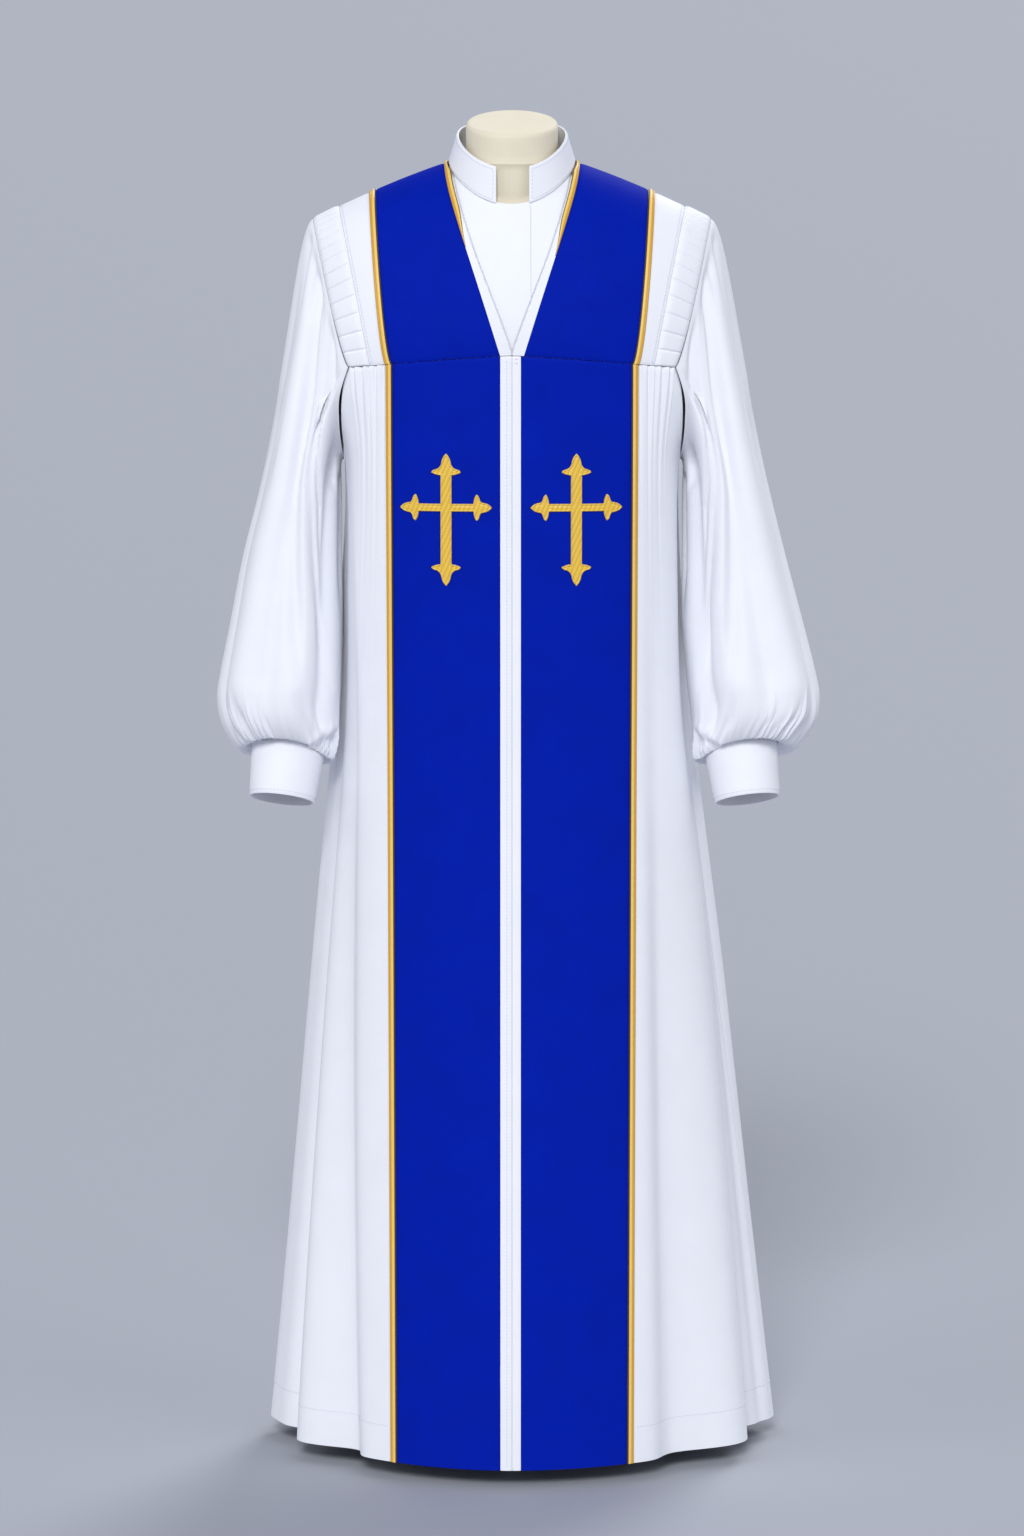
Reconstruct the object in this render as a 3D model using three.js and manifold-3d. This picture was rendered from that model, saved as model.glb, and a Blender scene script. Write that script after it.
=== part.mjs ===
// A white pulpit robe with royal blue front panels, gold piping and two gold crosses, standing on
// a limbless dress form. Millimetres, +Z up. The robe faces -Y and the origin is on the floor,
// under the pole of the stand. Left and right are the wearer's own, so left is +X.
import * as THREE from "three";
import Module from "manifold-3d";
import { mergeVertices } from "three/addons/utils/BufferGeometryUtils.js";

// Cloth
const clothThick = 1.6;
const stiffThick = 2.4;
const seamGap = 0.3;
const hemHeight = 20;

// Shoulder ridge: its height beside the neck, and how it falls away from there
const ridge = { neckSpread: 82.4, neckRound: 40, height: 1391, slope: 0.38, curve: 0.0005 };

// Yoke seam: its height at the middle, how far it drops, and where the arch over the shoulder ends
const yokeSeam = { height: 1193.5, drop: 12, reach: 150, power: 1.3 };
const archPower = { front: 1.8, back: 2.2 };
const archEnd = 0.997;
const shoulderSeam = -0.07;

// Neck opening: the ring that the collar stands on, and the ring of its top edge
const neckBase = { halfWidth: 67.5, halfDepth: 67, centreY: -8 };
const collarTop = { halfWidth: 58.6, halfDepth: 57, centreY: -12, height: 1415.9, tilt: -22.6, dip: -5.7 };
const collarGap = { right: 17, left: 18.5 };

// Front trim
const piping = { width: 7, height: 2, yokeSpread: 19, seamX: 129.5, hemX: 126 };
const vEdge = { seamX: 12.4, rise: 66, round: 6, bandWidth: 12.2, pipingWidth: 6.4, goldEnd: 0.6 };
const centreBand = { right: 12.4, left: 9.4 };
const bib = { sink: 2.9, underlap: 4, topX: 64.5, placketX: 20 };

// Fluting at the sleeve head: where its two edges lie at the yoke seam and at the ridge
const fluting = { count: 28, height: 1.8, crease: 0.18 };
const flutingLines = { innerX: 150, innerRise: 34, outerX: 172, outerRise: 40 };

// Embroidered cross
const cross = { height: 139, width: 96.3, barDown: 56.7, upright: 11.7, crossbar: 8.2, thick: 1.2 };
const crossPlace = { top: 1091.7, right: -69.2, left: 67.6 };
const bud = { sideLeaf: 13.8, sideLength: 15, endLeaf: 15.5, endLength: 18.5, tipHalf: 5.2 };

// Cuff
const cuff = { length: 60, topRadius: 39.4, taper: 4.7, pitch: 18, roll: 7, centreY: -42, centreZ: 770.5 };

// Horizontal sections of the body, from the yoke seam down to the hem
const bodyRows = [
  { z: 1193, right: 234, left: 234, front: 121, back: 116, power: 2.12 },
  { z: 1161, right: 217, left: 217, front: 123, back: 119, power: 2.3 },
  { z: 1121, right: 192, left: 192, front: 125.5, back: 123, power: 2.7 },
  { z: 1076, right: 179, left: 179, front: 128.5, back: 127, power: 3.0 },
  { z: 921, right: 178.5, left: 178.5, front: 138, back: 138, power: 2.8 },
  { z: 821, right: 180.5, left: 182.5, front: 145, back: 146, power: 2.6 },
  { z: 728, right: 187, left: 193, front: 152, back: 154, power: 2.45 },
  { z: 521, right: 206, left: 219, front: 172, back: 172, power: 2.2 },
  { z: 280, right: 228, left: 246, front: 195, back: 193, power: 2.0 },
  { z: 20, right: 252, left: 275, front: 219, back: 216, power: 1.85 },
];

// Folds of the skirt: where each lies at the top and at the hem, in degrees round from the front,
// how wide it is there, and how far it stands out (ridge) or sinks in (valley) at the hem
const foldRows = [
  { side: -1, top: 64, hem: 54, width: 8, depth: -13 },
  { side: -1, top: 77, hem: 71, width: 7.5, depth: 12 },
  { side: -1, top: 85, hem: 81, width: 4.8, depth: -21 },
  { side: -1, top: 97, hem: 95.5, width: 7, depth: 15 },
  { side: -1, top: 109, hem: 108, width: 6, depth: -16 },
  { side: -1, top: 121, hem: 121, width: 7, depth: 12 },
  { side: -1, top: 133, hem: 134, width: 6.5, depth: -18 },
  { side: -1, top: 146, hem: 147, width: 7, depth: 11 },
  { side: -1, top: 159, hem: 160, width: 6, depth: -15 },
  { side: -1, top: 171, hem: 172, width: 6.5, depth: 10 },
  { side: 1, top: 61, hem: 50, width: 8.5, depth: -12 },
  { side: 1, top: 76, hem: 68, width: 8, depth: 11 },
  { side: 1, top: 85, hem: 80, width: 5, depth: -20 },
  { side: 1, top: 97, hem: 95, width: 7, depth: 15 },
  { side: 1, top: 110, hem: 110, width: 6, depth: -15 },
  { side: 1, top: 123, hem: 124, width: 7, depth: 11 },
  { side: 1, top: 136, hem: 138, width: 6.5, depth: -17 },
  { side: 1, top: 149, hem: 151, width: 7, depth: 12 },
  { side: 1, top: 162, hem: 164, width: 5.5, depth: -14 },
  { side: 1, top: 176, hem: 177, width: 6.5, depth: 8 },
];
const foldTop = 1121;
const armholeFloor = 1076;
const gather = { depth: 1.3, fade: 60 };

// Sections of the sleeve from under the arm to the cuff: the middle's height and depth, half the
// sleeve's own depth and how far it leans forward, then the outer and inner edge on each side
const sleeveRows = [
  { at: 0, z: 1031, y: -3, halfDepth: 80, pitch: 0 },
  { at: 0.2, z: 971, y: -9, halfDepth: 79, pitch: 3 },
  { at: 0.42, z: 901, y: -18, halfDepth: 78, pitch: 7 },
  { at: 0.6, z: 841, y: -27, halfDepth: 76, pitch: 12 },
  { at: 0.7, z: 816, y: -32, halfDepth: 74, pitch: 14 },
  { at: 0.79, z: 791, y: -37, halfDepth: 69, pitch: 16 },
  { at: 0.87, z: 771, y: -41, halfDepth: 60, pitch: 18 },
  { at: 0.94, z: 761, y: -42, halfDepth: 49, pitch: 18 },
  { at: 1, z: 771, y: -42, halfDepth: 40.1, pitch: 18 },
];
const sleeveEdges = [
  { at: 0, outerRight: 275, innerRight: 182, outerLeft: 280, innerLeft: 182 },
  { at: 0.2, outerRight: 290, innerRight: 182, outerLeft: 295, innerLeft: 182 },
  { at: 0.42, outerRight: 303, innerRight: 181.5, outerLeft: 313, innerLeft: 182 },
  { at: 0.6, outerRight: 314, innerRight: 183, outerLeft: 327, innerLeft: 187.5 },
  { at: 0.7, outerRight: 316, innerRight: 184.5, outerLeft: 330, innerLeft: 191 },
  { at: 0.79, outerRight: 311, innerRight: 186, outerLeft: 326, innerLeft: 194 },
  { at: 0.87, outerRight: 300, innerRight: 190, outerLeft: 312, innerLeft: 195 },
  { at: 0.94, outerRight: 289, innerRight: 194, outerLeft: 299, innerLeft: 199 },
  { at: 1, outerRight: 279.1, innerRight: 198.9, outerLeft: 284.6, innerLeft: 204.4 },
];

// Folds down the sleeve: the place round it (0 outside, 0.25 front, 0.5 body side), width and depth
const sleeveFolds = [
  { place: 0.05, width: 0.035, depth: -5 },
  { place: 0.14, width: 0.04, depth: 4 },
  { place: 0.22, width: 0.03, depth: -6 },
  { place: 0.3, width: 0.04, depth: 5 },
  { place: 0.385, width: 0.028, depth: -9 },
  { place: 0.63, width: 0.035, depth: -7 },
  { place: 0.72, width: 0.045, depth: 5 },
  { place: 0.81, width: 0.035, depth: -7 },
  { place: 0.91, width: 0.045, depth: 4 },
];
const sleeveGather = { count: 16, depth: 2.6, from: 0.72 };
const sleeveHead = { out: 20, down: 150 };

// Dress form: sections below the shoulder, how far it lies below the cloth, and its neck
const formRows = [
  { z: 631, width: 150, front: 104, back: 108 },
  { z: 731, width: 158, front: 112, back: 116 },
  { z: 871, width: 143, front: 104, back: 100 },
  { z: 981, width: 132, front: 100, back: 92 },
  { z: 1091, width: 150, front: 110, back: 100 },
  { z: 1171, width: 160, front: 112, back: 104 },
];
const form = { power: 2.6, shoulderWidth: 166, neckRadius: 49, neckY: -12 };
const formBelow = { drop: 2.3, slopeDrop: 2.4, bibDrop: 8.5, bibInset: 5, inset: 6 };
const neckCap = { height: 1434.5, tilt: 14.3, edge: 4 };
const stand = { baseRadius: 150, baseThick: 9, hubRadius: 34, hubTop: 16, poleRadius: 12.5, flange: 45 };

const white = new THREE.MeshStandardMaterial({ color: 0xeef0f8, roughness: 0.75, metalness: 0 });
const blue = new THREE.MeshStandardMaterial({ color: 0x0520a4, roughness: 0.6, metalness: 0 });
const gold = new THREE.MeshStandardMaterial({ color: 0xe2b23a, roughness: 0.4, metalness: 0.2 });
const cream = new THREE.MeshStandardMaterial({ color: 0xe9e1c9, roughness: 0.7, metalness: 0 });
const steel = new THREE.MeshStandardMaterial({ color: 0x8d9095, roughness: 0.35, metalness: 0.9 });

const robe = new THREE.Group();
robe.name = "pulpit_robe_on_dress_form";

const sides = new Map([[-1, "right"], [1, "left"]]);
const { degToRad, radToDeg, lerp, clamp } = THREE.MathUtils;

function vector(x, y, z) {
  return new THREE.Vector3(x, y, z);
}

function ease(low, high, value) {
  const t = clamp((value - low) / (high - low), 0, 1);
  return t * t * (3 - 2 * t);
}

// Evenly spaced numbers from 0 to 1, crowded towards 0 where the power is above 1
function stations(cells, power = 1) {
  return Array.from({ length: cells + 1 }, (_, i) => (i / cells) ** power);
}

// Reads a table at a place along its key column, on a smooth curve through every row
function readTable(rows, key, place) {
  const last = rows.length - 1;
  const sign = Math.sign(rows[last][key] - rows[0][key]);
  let low = 0;
  while (low < last - 1 && (place - rows[low + 1][key]) * sign > 0) low += 1;
  const before = rows[Math.max(low - 1, 0)];
  const start = rows[low];
  const end = rows[low + 1];
  const after = rows[Math.min(low + 2, last)];
  const span = end[key] - start[key];
  const t = (place - start[key]) / span;
  const read = {};
  for (const name of Object.keys(start)) {
    const slopeIn = ((end[name] - before[name]) / (end[key] - before[key])) * span;
    const slopeOut = ((after[name] - start[name]) / (after[key] - start[key])) * span;
    const rise = end[name] - start[name];
    const bend = t * t * (3 * rise - 2 * slopeIn - slopeOut) + t ** 3 * (slopeIn + slopeOut - 2 * rise);
    read[name] = start[name] + slopeIn * t + bend;
  }
  return read;
}

// Half of a rounded section: how deep it is at a distance x from the middle
function sectionDepth(x, halfWidth, depth, power) {
  return depth * Math.max(1 - (Math.abs(x) / halfWidth) ** power, 0) ** (1 / power);
}

// ---- Body of the robe, below the yoke seam

function seamHeight(x) {
  return yokeSeam.height - yokeSeam.drop * (Math.abs(x) / yokeSeam.reach) ** yokeSeam.power;
}

function bodyDepth(x, z, facing) {
  const row = readTable(bodyRows, "z", z);
  return sectionDepth(x, x < 0 ? row.right : row.left, facing > 0 ? row.front : row.back, row.power);
}

// Radius of the unfolded section at an angle in degrees from the front, left positive
function bodyRadius(angle, z) {
  const row = readTable(bodyRows, "z", z);
  const sine = Math.abs(Math.sin(degToRad(angle)));
  const cosine = Math.cos(degToRad(angle));
  const wide = sine / (angle < 0 ? row.right : row.left);
  const deep = Math.abs(cosine) / (cosine > 0 ? row.front : row.back);
  return (wide ** row.power + deep ** row.power) ** (-1 / row.power);
}

function pipingX(z) {
  return lerp(piping.hemX, piping.seamX, (z - hemHeight) / (yokeSeam.height - hemHeight));
}

// Angle of the seam outside the piping, where the white side front begins
function sideFrontAngle(side, z) {
  const x = pipingX(z) + piping.width / 2 + seamGap;
  return radToDeg(Math.atan2(x, bodyDepth(side * x, z, 1)));
}

// How far the folds carry the cloth out from the unfolded section
function foldOffset(angle, z) {
  const side = angle < 0 ? -1 : 1;
  const down = clamp((foldTop - z) / (foldTop - hemHeight), 0, 1.1);
  const still = sideFrontAngle(side, z);
  let offset = 0;
  for (const fold of foldRows) {
    const place = fold.side * lerp(fold.top, fold.hem, down);
    const away = (((angle - place + 540) % 360) - 180) / fold.width;
    offset += fold.depth * down * Math.exp(-away * away);
  }
  return offset * ease(still + 1, still + 11, side * angle);
}

function bodyPoint(angle, z, out = 0) {
  const radius = bodyRadius(angle, z) + foldOffset(angle, z) + out;
  return vector(radius * Math.sin(degToRad(angle)), -radius * Math.cos(degToRad(angle)), z);
}

// ---- Yoke: an arch over the shoulder, t from -1 at the back seam to 1 at the front seam

function ridgeHeight(x) {
  const away = Math.hypot(x, ridge.neckRound) - ridge.neckSpread;
  return ridge.height - ridge.slope * away - ridge.curve * away * away;
}

// Share of the height between the seam and the ridge at t
function archShare(t) {
  return Math.cos((Math.abs(t) * Math.PI) / 2) ** (2 / (t > 0 ? archPower.front : archPower.back));
}

function archPoint(x, t) {
  const facing = t > 0 ? 1 : -1;
  const seam = seamHeight(x);
  const out = Math.sin((Math.abs(t) * Math.PI) / 2) ** (2 / (t > 0 ? archPower.front : archPower.back));
  return vector(x, -facing * out * bodyDepth(x, seam, facing), lerp(seam, ridgeHeight(x), archShare(t)));
}

// The t at which the arch at x reaches a depth y
function archAt(x, y) {
  const facing = y < 0 ? 1 : -1;
  const power = facing > 0 ? archPower.front : archPower.back;
  const share = clamp(Math.abs(y) / bodyDepth(x, seamHeight(x), facing), 0, 1);
  return (facing * Math.asin(share ** (power / 2)) * 2) / Math.PI;
}

function archHeight(x, y) {
  return archPoint(x, archAt(x, y)).z;
}

// Lines on the yoke, as distances from the middle
function yokePipingX(t) {
  return piping.seamX + piping.yokeSpread * archShare(t) ** 0.6;
}

function flutingInnerX(t) {
  return flutingLines.innerX + flutingLines.innerRise * archShare(t);
}

function flutingOuterX(t) {
  return flutingLines.outerX + flutingLines.outerRise * archShare(t) ** 0.75;
}

function vEdgeX(t) {
  const share = archShare(t);
  return vEdge.seamX + vEdge.rise * share - vEdge.round * share ** 8;
}

function vBandWidth(t) {
  return lerp(vEdge.bandWidth, vEdge.pipingWidth, ease(0, 0.6, archShare(t)));
}

// Inner edge of the strip along the V, kept outside the collar
function vInnerX(t) {
  const y = archPoint(vEdgeX(t), t).y - neckBase.centreY;
  const ring = neckBase.halfWidth * Math.sqrt(Math.max(1 - (y / neckBase.halfDepth) ** 2, 0));
  return Math.max(vEdgeX(t) - vBandWidth(t), ring + 0.8);
}

// ---- Walls

function normalAt(surface, u, v, sense) {
  const step = 1e-4;
  const alongU = surface(u + step, v).sub(surface(u - step, v));
  const alongV = surface(u, v + step).sub(surface(u, v - step));
  return alongU.cross(alongV).normalize().multiplyScalar(sense);
}

function geometryFrom(points, faces) {
  const geometry = new THREE.BufferGeometry();
  geometry.setAttribute("position", new THREE.Float32BufferAttribute(points.flatMap((p) => p.toArray()), 3));
  geometry.setIndex(faces);
  geometry.computeVertexNormals();
  return geometry;
}

// A closed wall between two offsets of a surface, over stations of its two parameters. Sense is 1
// where the outside is on the side of across x down. A ring joins its last column to its first.
function wall({ surface, across, down, sense, outer = () => 0, inner = () => -clothThick, ring = false }) {
  const points = [];
  for (const offset of [outer, inner]) {
    for (const v of down) {
      for (const u of across) {
        const normal = normalAt(surface, u, v, sense);
        points.push(surface(u, v).addScaledVector(normal, offset(u, v)));
      }
    }
  }
  const columns = across.length;
  const layer = columns * down.length;
  const cells = ring ? columns : columns - 1;
  const last = down.length - 1;
  const out = (i, j) => (i % columns) + j * columns;
  const into = (i, j) => layer + out(i, j);
  const faces = [];
  const quad = (a, b, c, d) => faces.push(...(sense > 0 ? [a, b, c, a, c, d] : [a, c, b, a, d, c]));
  for (let i = 0; i < cells; i += 1) {
    for (let j = 0; j < last; j += 1) {
      quad(out(i, j), out(i + 1, j), out(i + 1, j + 1), out(i, j + 1));
      quad(into(i, j), into(i, j + 1), into(i + 1, j + 1), into(i + 1, j));
    }
    quad(into(i, 0), into(i + 1, 0), out(i + 1, 0), out(i, 0));
    quad(out(i, last), out(i + 1, last), into(i + 1, last), into(i, last));
  }
  for (let j = 0; j < last && !ring; j += 1) {
    quad(out(0, j), out(0, j + 1), into(0, j + 1), into(0, j));
    quad(out(cells, j + 1), out(cells, j), into(cells, j), into(cells, j + 1));
  }
  return geometryFrom(points, faces);
}

function addPiece(name, material, geometry) {
  const mesh = new THREE.Mesh(geometry, material);
  mesh.name = name;
  robe.add(mesh);
}

// Double cord of the piping: two rounded ridges side by side
function cordProfile(u) {
  return piping.height * (0.4 + 0.6 * Math.abs(Math.sin(u * 2 * Math.PI)));
}
const cordStations = [0, 0.2, 0.5, 0.8, 1];

// ---- Pieces below the yoke seam

const skirtStations = stations(10, 1.3);

// A surface over the front, between two lines given as x at a height
function frontSurface(startX, endX) {
  return (u, v) => {
    const top = seamHeight(lerp(startX(yokeSeam.height), endX(yokeSeam.height), u));
    const z = lerp(top, hemHeight, v);
    const x = lerp(startX(z), endX(z), u);
    return vector(x, -bodyDepth(x, z, 1), z);
  };
}

function buildFront(side, name) {
  const half = seamGap / 2;
  const bandX = side < 0 ? centreBand.right : centreBand.left;
  const sense = -side;
  const strip = (start, end) => frontSurface((z) => side * start(z), (z) => side * end(z));
  const middle = strip(() => half, () => bandX - half);
  const down = skirtStations;
  addPiece(`front_band_${name}`, white, wall({ surface: middle, across: [0, 1], down, sense }));
  const panel = strip(() => bandX + half, (z) => pipingX(z) - piping.width / 2);
  addPiece(`front_panel_${name}`, blue, wall({ surface: panel, across: stations(5), down, sense }));
  const cord = strip((z) => pipingX(z) - piping.width / 2 + seamGap, (z) => pipingX(z) + piping.width / 2);
  const geometry = wall({ surface: cord, across: cordStations, down, sense, outer: cordProfile });
  addPiece(`front_piping_${name}`, gold, geometry);
}

const sideSeam = { front: 89.93, back: 90.05 };
const sideFrontColumns = { seam: 6, armhole: 8 };
const backColumns = { seam: 30, armhole: 6 };

// Angle of the armhole's front or back corner, at the end of the yoke seam
function cornerAngle(facing) {
  const x = flutingLines.outerX;
  const angle = radToDeg(Math.atan2(x, bodyDepth(x, seamHeight(x), facing)));
  return facing > 0 ? angle : 180 - angle;
}

// Height of the armhole's edge between its corner (0) and the underarm (1)
function armholeHeight(share) {
  return lerp(seamHeight(flutingLines.outerX), armholeFloor, 1 - (1 - clamp(share, 0, 1)) ** 2.2);
}

// Height of the yoke seam where the body's section meets it at an angle
function seamHeightAt(angle) {
  return seamHeight(bodyRadius(angle, yokeSeam.height) * Math.sin(degToRad(angle)));
}

// Gathers under the yoke seam: one ridge and one valley to each pair of columns
function gatherOffset(column, along, drop) {
  const ends = ease(0, 0.12, along) * ease(1, 0.88, along);
  return gather.depth * ends * Math.exp(-drop / gather.fade) * Math.cos(column * Math.PI);
}

// White side front, u from the piping round to the side seam, v from its top edge to the hem
function sideFrontSurface(side) {
  const columns = sideFrontColumns.seam + sideFrontColumns.armhole;
  const cornerU = sideFrontColumns.seam / columns;
  const corner = cornerAngle(1);
  const start = sideFrontAngle(side, yokeSeam.height);
  return (u, v) => {
    const along = u / cornerU;
    const share = (u - cornerU) / (1 - cornerU);
    const topAngle = share < 0 ? lerp(start, corner, along) : lerp(corner, sideSeam.front, share);
    const top = share < 0 ? seamHeightAt(side * topAngle) : armholeHeight(share);
    const z = lerp(top, hemHeight, v);
    const turned = lerp((topAngle - start) / (sideSeam.front - start), u, ease(0, 0.5, v));
    const angle = lerp(sideFrontAngle(side, z), sideSeam.front, turned);
    return bodyPoint(side * angle, z, gatherOffset(u * columns, clamp(along, 0, 1), top - z));
  };
}

// White back, u from the right side seam round to the left one, v from its top edge to the hem
function backSurface() {
  const columns = backColumns.seam + 2 * backColumns.armhole;
  const cornerU = backColumns.armhole / columns;
  const corner = cornerAngle(-1);
  return (u, v) => {
    const near = Math.min(u, 1 - u);
    const share = near / cornerU;
    const side = u < 0.5 ? -1 : 1;
    const inner = (near - cornerU) / (0.5 - cornerU);
    const angle = side * (share < 1 ? lerp(sideSeam.back, corner, share) : lerp(corner, 180, inner));
    const top = share < 1 ? armholeHeight(1 - share) : seamHeightAt(angle);
    const z = lerp(top, hemHeight, v);
    const along = (u - cornerU) / (1 - 2 * cornerU);
    return bodyPoint(angle, z, gatherOffset(u * columns, clamp(along, 0, 1), top - z));
  };
}

function buildSideFront(side, name) {
  const across = stations(sideFrontColumns.seam + sideFrontColumns.armhole);
  const geometry = wall({ surface: sideFrontSurface(side), across, down: skirtStations, sense: -side });
  addPiece(`side_front_${name}`, white, geometry);
}

function buildBack() {
  const across = stations(backColumns.seam + 2 * backColumns.armhole);
  addPiece("back", white, wall({ surface: backSurface(), across, down: skirtStations, sense: 1 }));
}

// ---- Yoke

const yokeStations = [0, ...stations(12)].map((share, i) => (i === 0 ? shoulderSeam : share * archEnd));

// A strip of the yoke between two lines given as x at t, v being t itself
function yokeStrip(side, startX, endX) {
  return (u, t) => archPoint(side * lerp(startX(t), endX(t), u), t);
}

function flute(u, t) {
  const place = (((t / archEnd + 1) / 2) * fluting.count) % 1;
  const edge = Math.min(place, 1 - place) / fluting.crease;
  return fluting.height * Math.min(edge, 1);
}

function flutingStations() {
  const places = [-archEnd];
  for (let i = 0; i < fluting.count; i += 1) {
    for (const part of [fluting.crease, 1 - fluting.crease, 1]) {
      places.push(archEnd * (2 * ((i + part) / fluting.count) - 1));
    }
  }
  return places;
}

function buildYoke(side, name) {
  const sense = -side;
  const half = piping.width / 2;
  const gap = seamGap / 2;
  const panel = yokeStrip(side, (t) => vEdgeX(t) + gap, (t) => yokePipingX(t) - half);
  const down = yokeStations;
  addPiece(`yoke_panel_${name}`, blue, wall({ surface: panel, across: stations(6), down, sense }));
  const cord = yokeStrip(side, (t) => yokePipingX(t) - half + seamGap, (t) => yokePipingX(t) + half);
  const cordWall = wall({ surface: cord, across: cordStations, down, sense, outer: cordProfile });
  addPiece(`yoke_piping_${name}`, gold, cordWall);
  const outside = yokeStrip(side, (t) => yokePipingX(t) + half + seamGap, (t) => flutingInnerX(t) - gap);
  addPiece(`yoke_side_${name}`, white, wall({ surface: outside, across: stations(2), down, sense }));
  const band = yokeStrip(side, (t) => flutingInnerX(t) + gap, (t) => flutingOuterX(t) - gap);
  const flutes = wall({ surface: band, across: [0, 1], down: flutingStations(), sense, outer: flute });
  addPiece(`fluting_${name}`, white, flutes);
}

// The strip along the V: gold piping from the shoulder seam down, then the white neck band
function buildNeckEdge(side, name) {
  const sense = -side;
  const strip = yokeStrip(side, vInnerX, (t) => vEdgeX(t) - seamGap / 2);
  const gap = 0.002;
  const upper = [shoulderSeam, ...stations(8).map((share) => share * (vEdge.goldEnd - gap))];
  const cord = wall({ surface: strip, across: cordStations, down: upper, sense, outer: cordProfile });
  addPiece(`neck_piping_${name}`, gold, cord);
  const lower = stations(7).map((share) => lerp(vEdge.goldEnd + gap, archEnd, share));
  addPiece(`neck_band_${name}`, white, wall({ surface: strip, across: [0, 1], down: lower, sense }));
}

function neckRingDepth(x, inset) {
  const halfWidth = neckBase.halfWidth - inset;
  return (neckBase.halfDepth - inset) * Math.sqrt(Math.max(1 - (x / halfWidth) ** 2, 0));
}

// Back yoke: u across, v from the neck and shoulder seams down to the back seam
function buildYokeBack() {
  const under = 1.2;
  const neckEdge = neckBase.halfWidth - under;
  const beside = neckBase.halfWidth + 1.3;
  const arms = flutingLines.innerX + flutingLines.innerRise;
  const neckXs = stations(4).map((share) => neckEdge * Math.sin((share * Math.PI) / 2));
  const outerXs = stations(4).map((share) => lerp(beside, arms, share));
  const half = [...neckXs, ...outerXs].map((x) => x / arms);
  const across = [...half.slice(1).reverse().map((share) => -share), ...half];
  const surface = (u, v) => {
    const x = u * arms;
    const seamY = archPoint(x, shoulderSeam).y;
    const neckY = Math.abs(x) < neckEdge ? neckBase.centreY + neckRingDepth(x, under) : seamY;
    const start = archAt(x, Math.max(seamY, neckY)) - 0.004;
    const t = lerp(start, -archEnd, v);
    return archPoint(u * (flutingInnerX(t) - seamGap), t);
  };
  addPiece("yoke_back", white, wall({ surface, across, down: stations(11), sense: 1 }));
}

// The t at which the bib ends under the strip along the V, at a distance from the middle
function bibEnd(x) {
  let low = 0.2;
  let high = archEnd;
  for (let i = 0; i < 30; i += 1) {
    const middle = (low + high) / 2;
    if (vInnerX(middle) + bib.underlap > Math.abs(x)) low = middle;
    else high = middle;
  }
  return low;
}

// Bib behind the V: two pieces that meet at the placket, sunk below the yoke
function buildBib() {
  const under = 1.2;
  const sheet = (startX, endX) => (u, v) => {
    const x = lerp(startX, endX, u);
    const top = archAt(x, neckBase.centreY - neckRingDepth(x, under));
    return archPoint(x, lerp(top, bibEnd(x), v));
  };
  const outer = () => -bib.sink;
  const inner = () => -bib.sink - clothThick;
  const gap = seamGap / 2;
  const pieces = [
    { name: "right", cells: 12, surface: sheet(-bib.topX, bib.placketX - gap) },
    { name: "left", cells: 6, surface: sheet(bib.placketX + gap, bib.topX) },
  ];
  for (const { name, cells, surface } of pieces) {
    const geometry = wall({ surface, across: stations(cells), down: stations(9), sense: -1, outer, inner });
    addPiece(`bib_${name}`, white, geometry);
  }
}

// Standing collar: u from the right end of the front gap round the back to the left end
function buildCollar() {
  const surface = (u, v) => {
    const ring = {
      halfWidth: lerp(neckBase.halfWidth, collarTop.halfWidth, v),
      halfDepth: lerp(neckBase.halfDepth, collarTop.halfDepth, v),
      centreY: lerp(neckBase.centreY, collarTop.centreY, v),
    };
    const start = Math.asin(collarGap.right / ring.halfWidth);
    const end = 2 * Math.PI - Math.asin(collarGap.left / ring.halfWidth);
    const turn = lerp(start, end, u);
    const x = -ring.halfWidth * Math.sin(turn);
    const y = ring.centreY - ring.halfDepth * Math.cos(turn);
    const top = collarTop.height + collarTop.tilt * Math.cos(turn) + collarTop.dip * Math.cos(2 * turn);
    const baseX = -neckBase.halfWidth * Math.sin(turn);
    const baseY = neckBase.centreY - neckBase.halfDepth * Math.cos(turn);
    const sunk = bib.sink * ease(-0.1, 0.35, Math.cos(turn));
    return vector(x, y, lerp(archHeight(baseX, baseY) - sunk + 1.9, top, v));
  };
  const inner = () => -stiffThick;
  addPiece("collar", white, wall({ surface, across: stations(24), down: stations(2), sense: -1, inner }));
}

// ---- Sleeves

// A point round the armhole: 0 at the ridge, 0.25 front corner, 0.5 underarm, 0.75 back corner
function armholePoint(place) {
  const facing = place < 0.5 ? 1 : -1;
  const near = Math.min(place, 1 - place);
  if (near < 0.25) {
    const t = facing * archEnd * (near / 0.25);
    return archPoint(flutingOuterX(t), t);
  }
  const share = (near - 0.25) / 0.25;
  const angle = lerp(cornerAngle(facing), 90, share);
  return bodyPoint(angle, armholeHeight(share));
}

// Direction in which the cloth leaves the armhole, lying in the surface beside it
function armholeOut(place) {
  const facing = place < 0.5 ? 1 : -1;
  const near = Math.min(place, 1 - place);
  const t = facing * archEnd * Math.min(near / 0.25, 1);
  const x = flutingOuterX(t);
  const along = archPoint(x, t).sub(archPoint(x - 1, t)).normalize();
  const point = armholePoint(place);
  const away = vector(point.x, point.y, 0).normalize();
  return along.lerp(away, ease(0.24, 0.32, near)).normalize();
}

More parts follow.
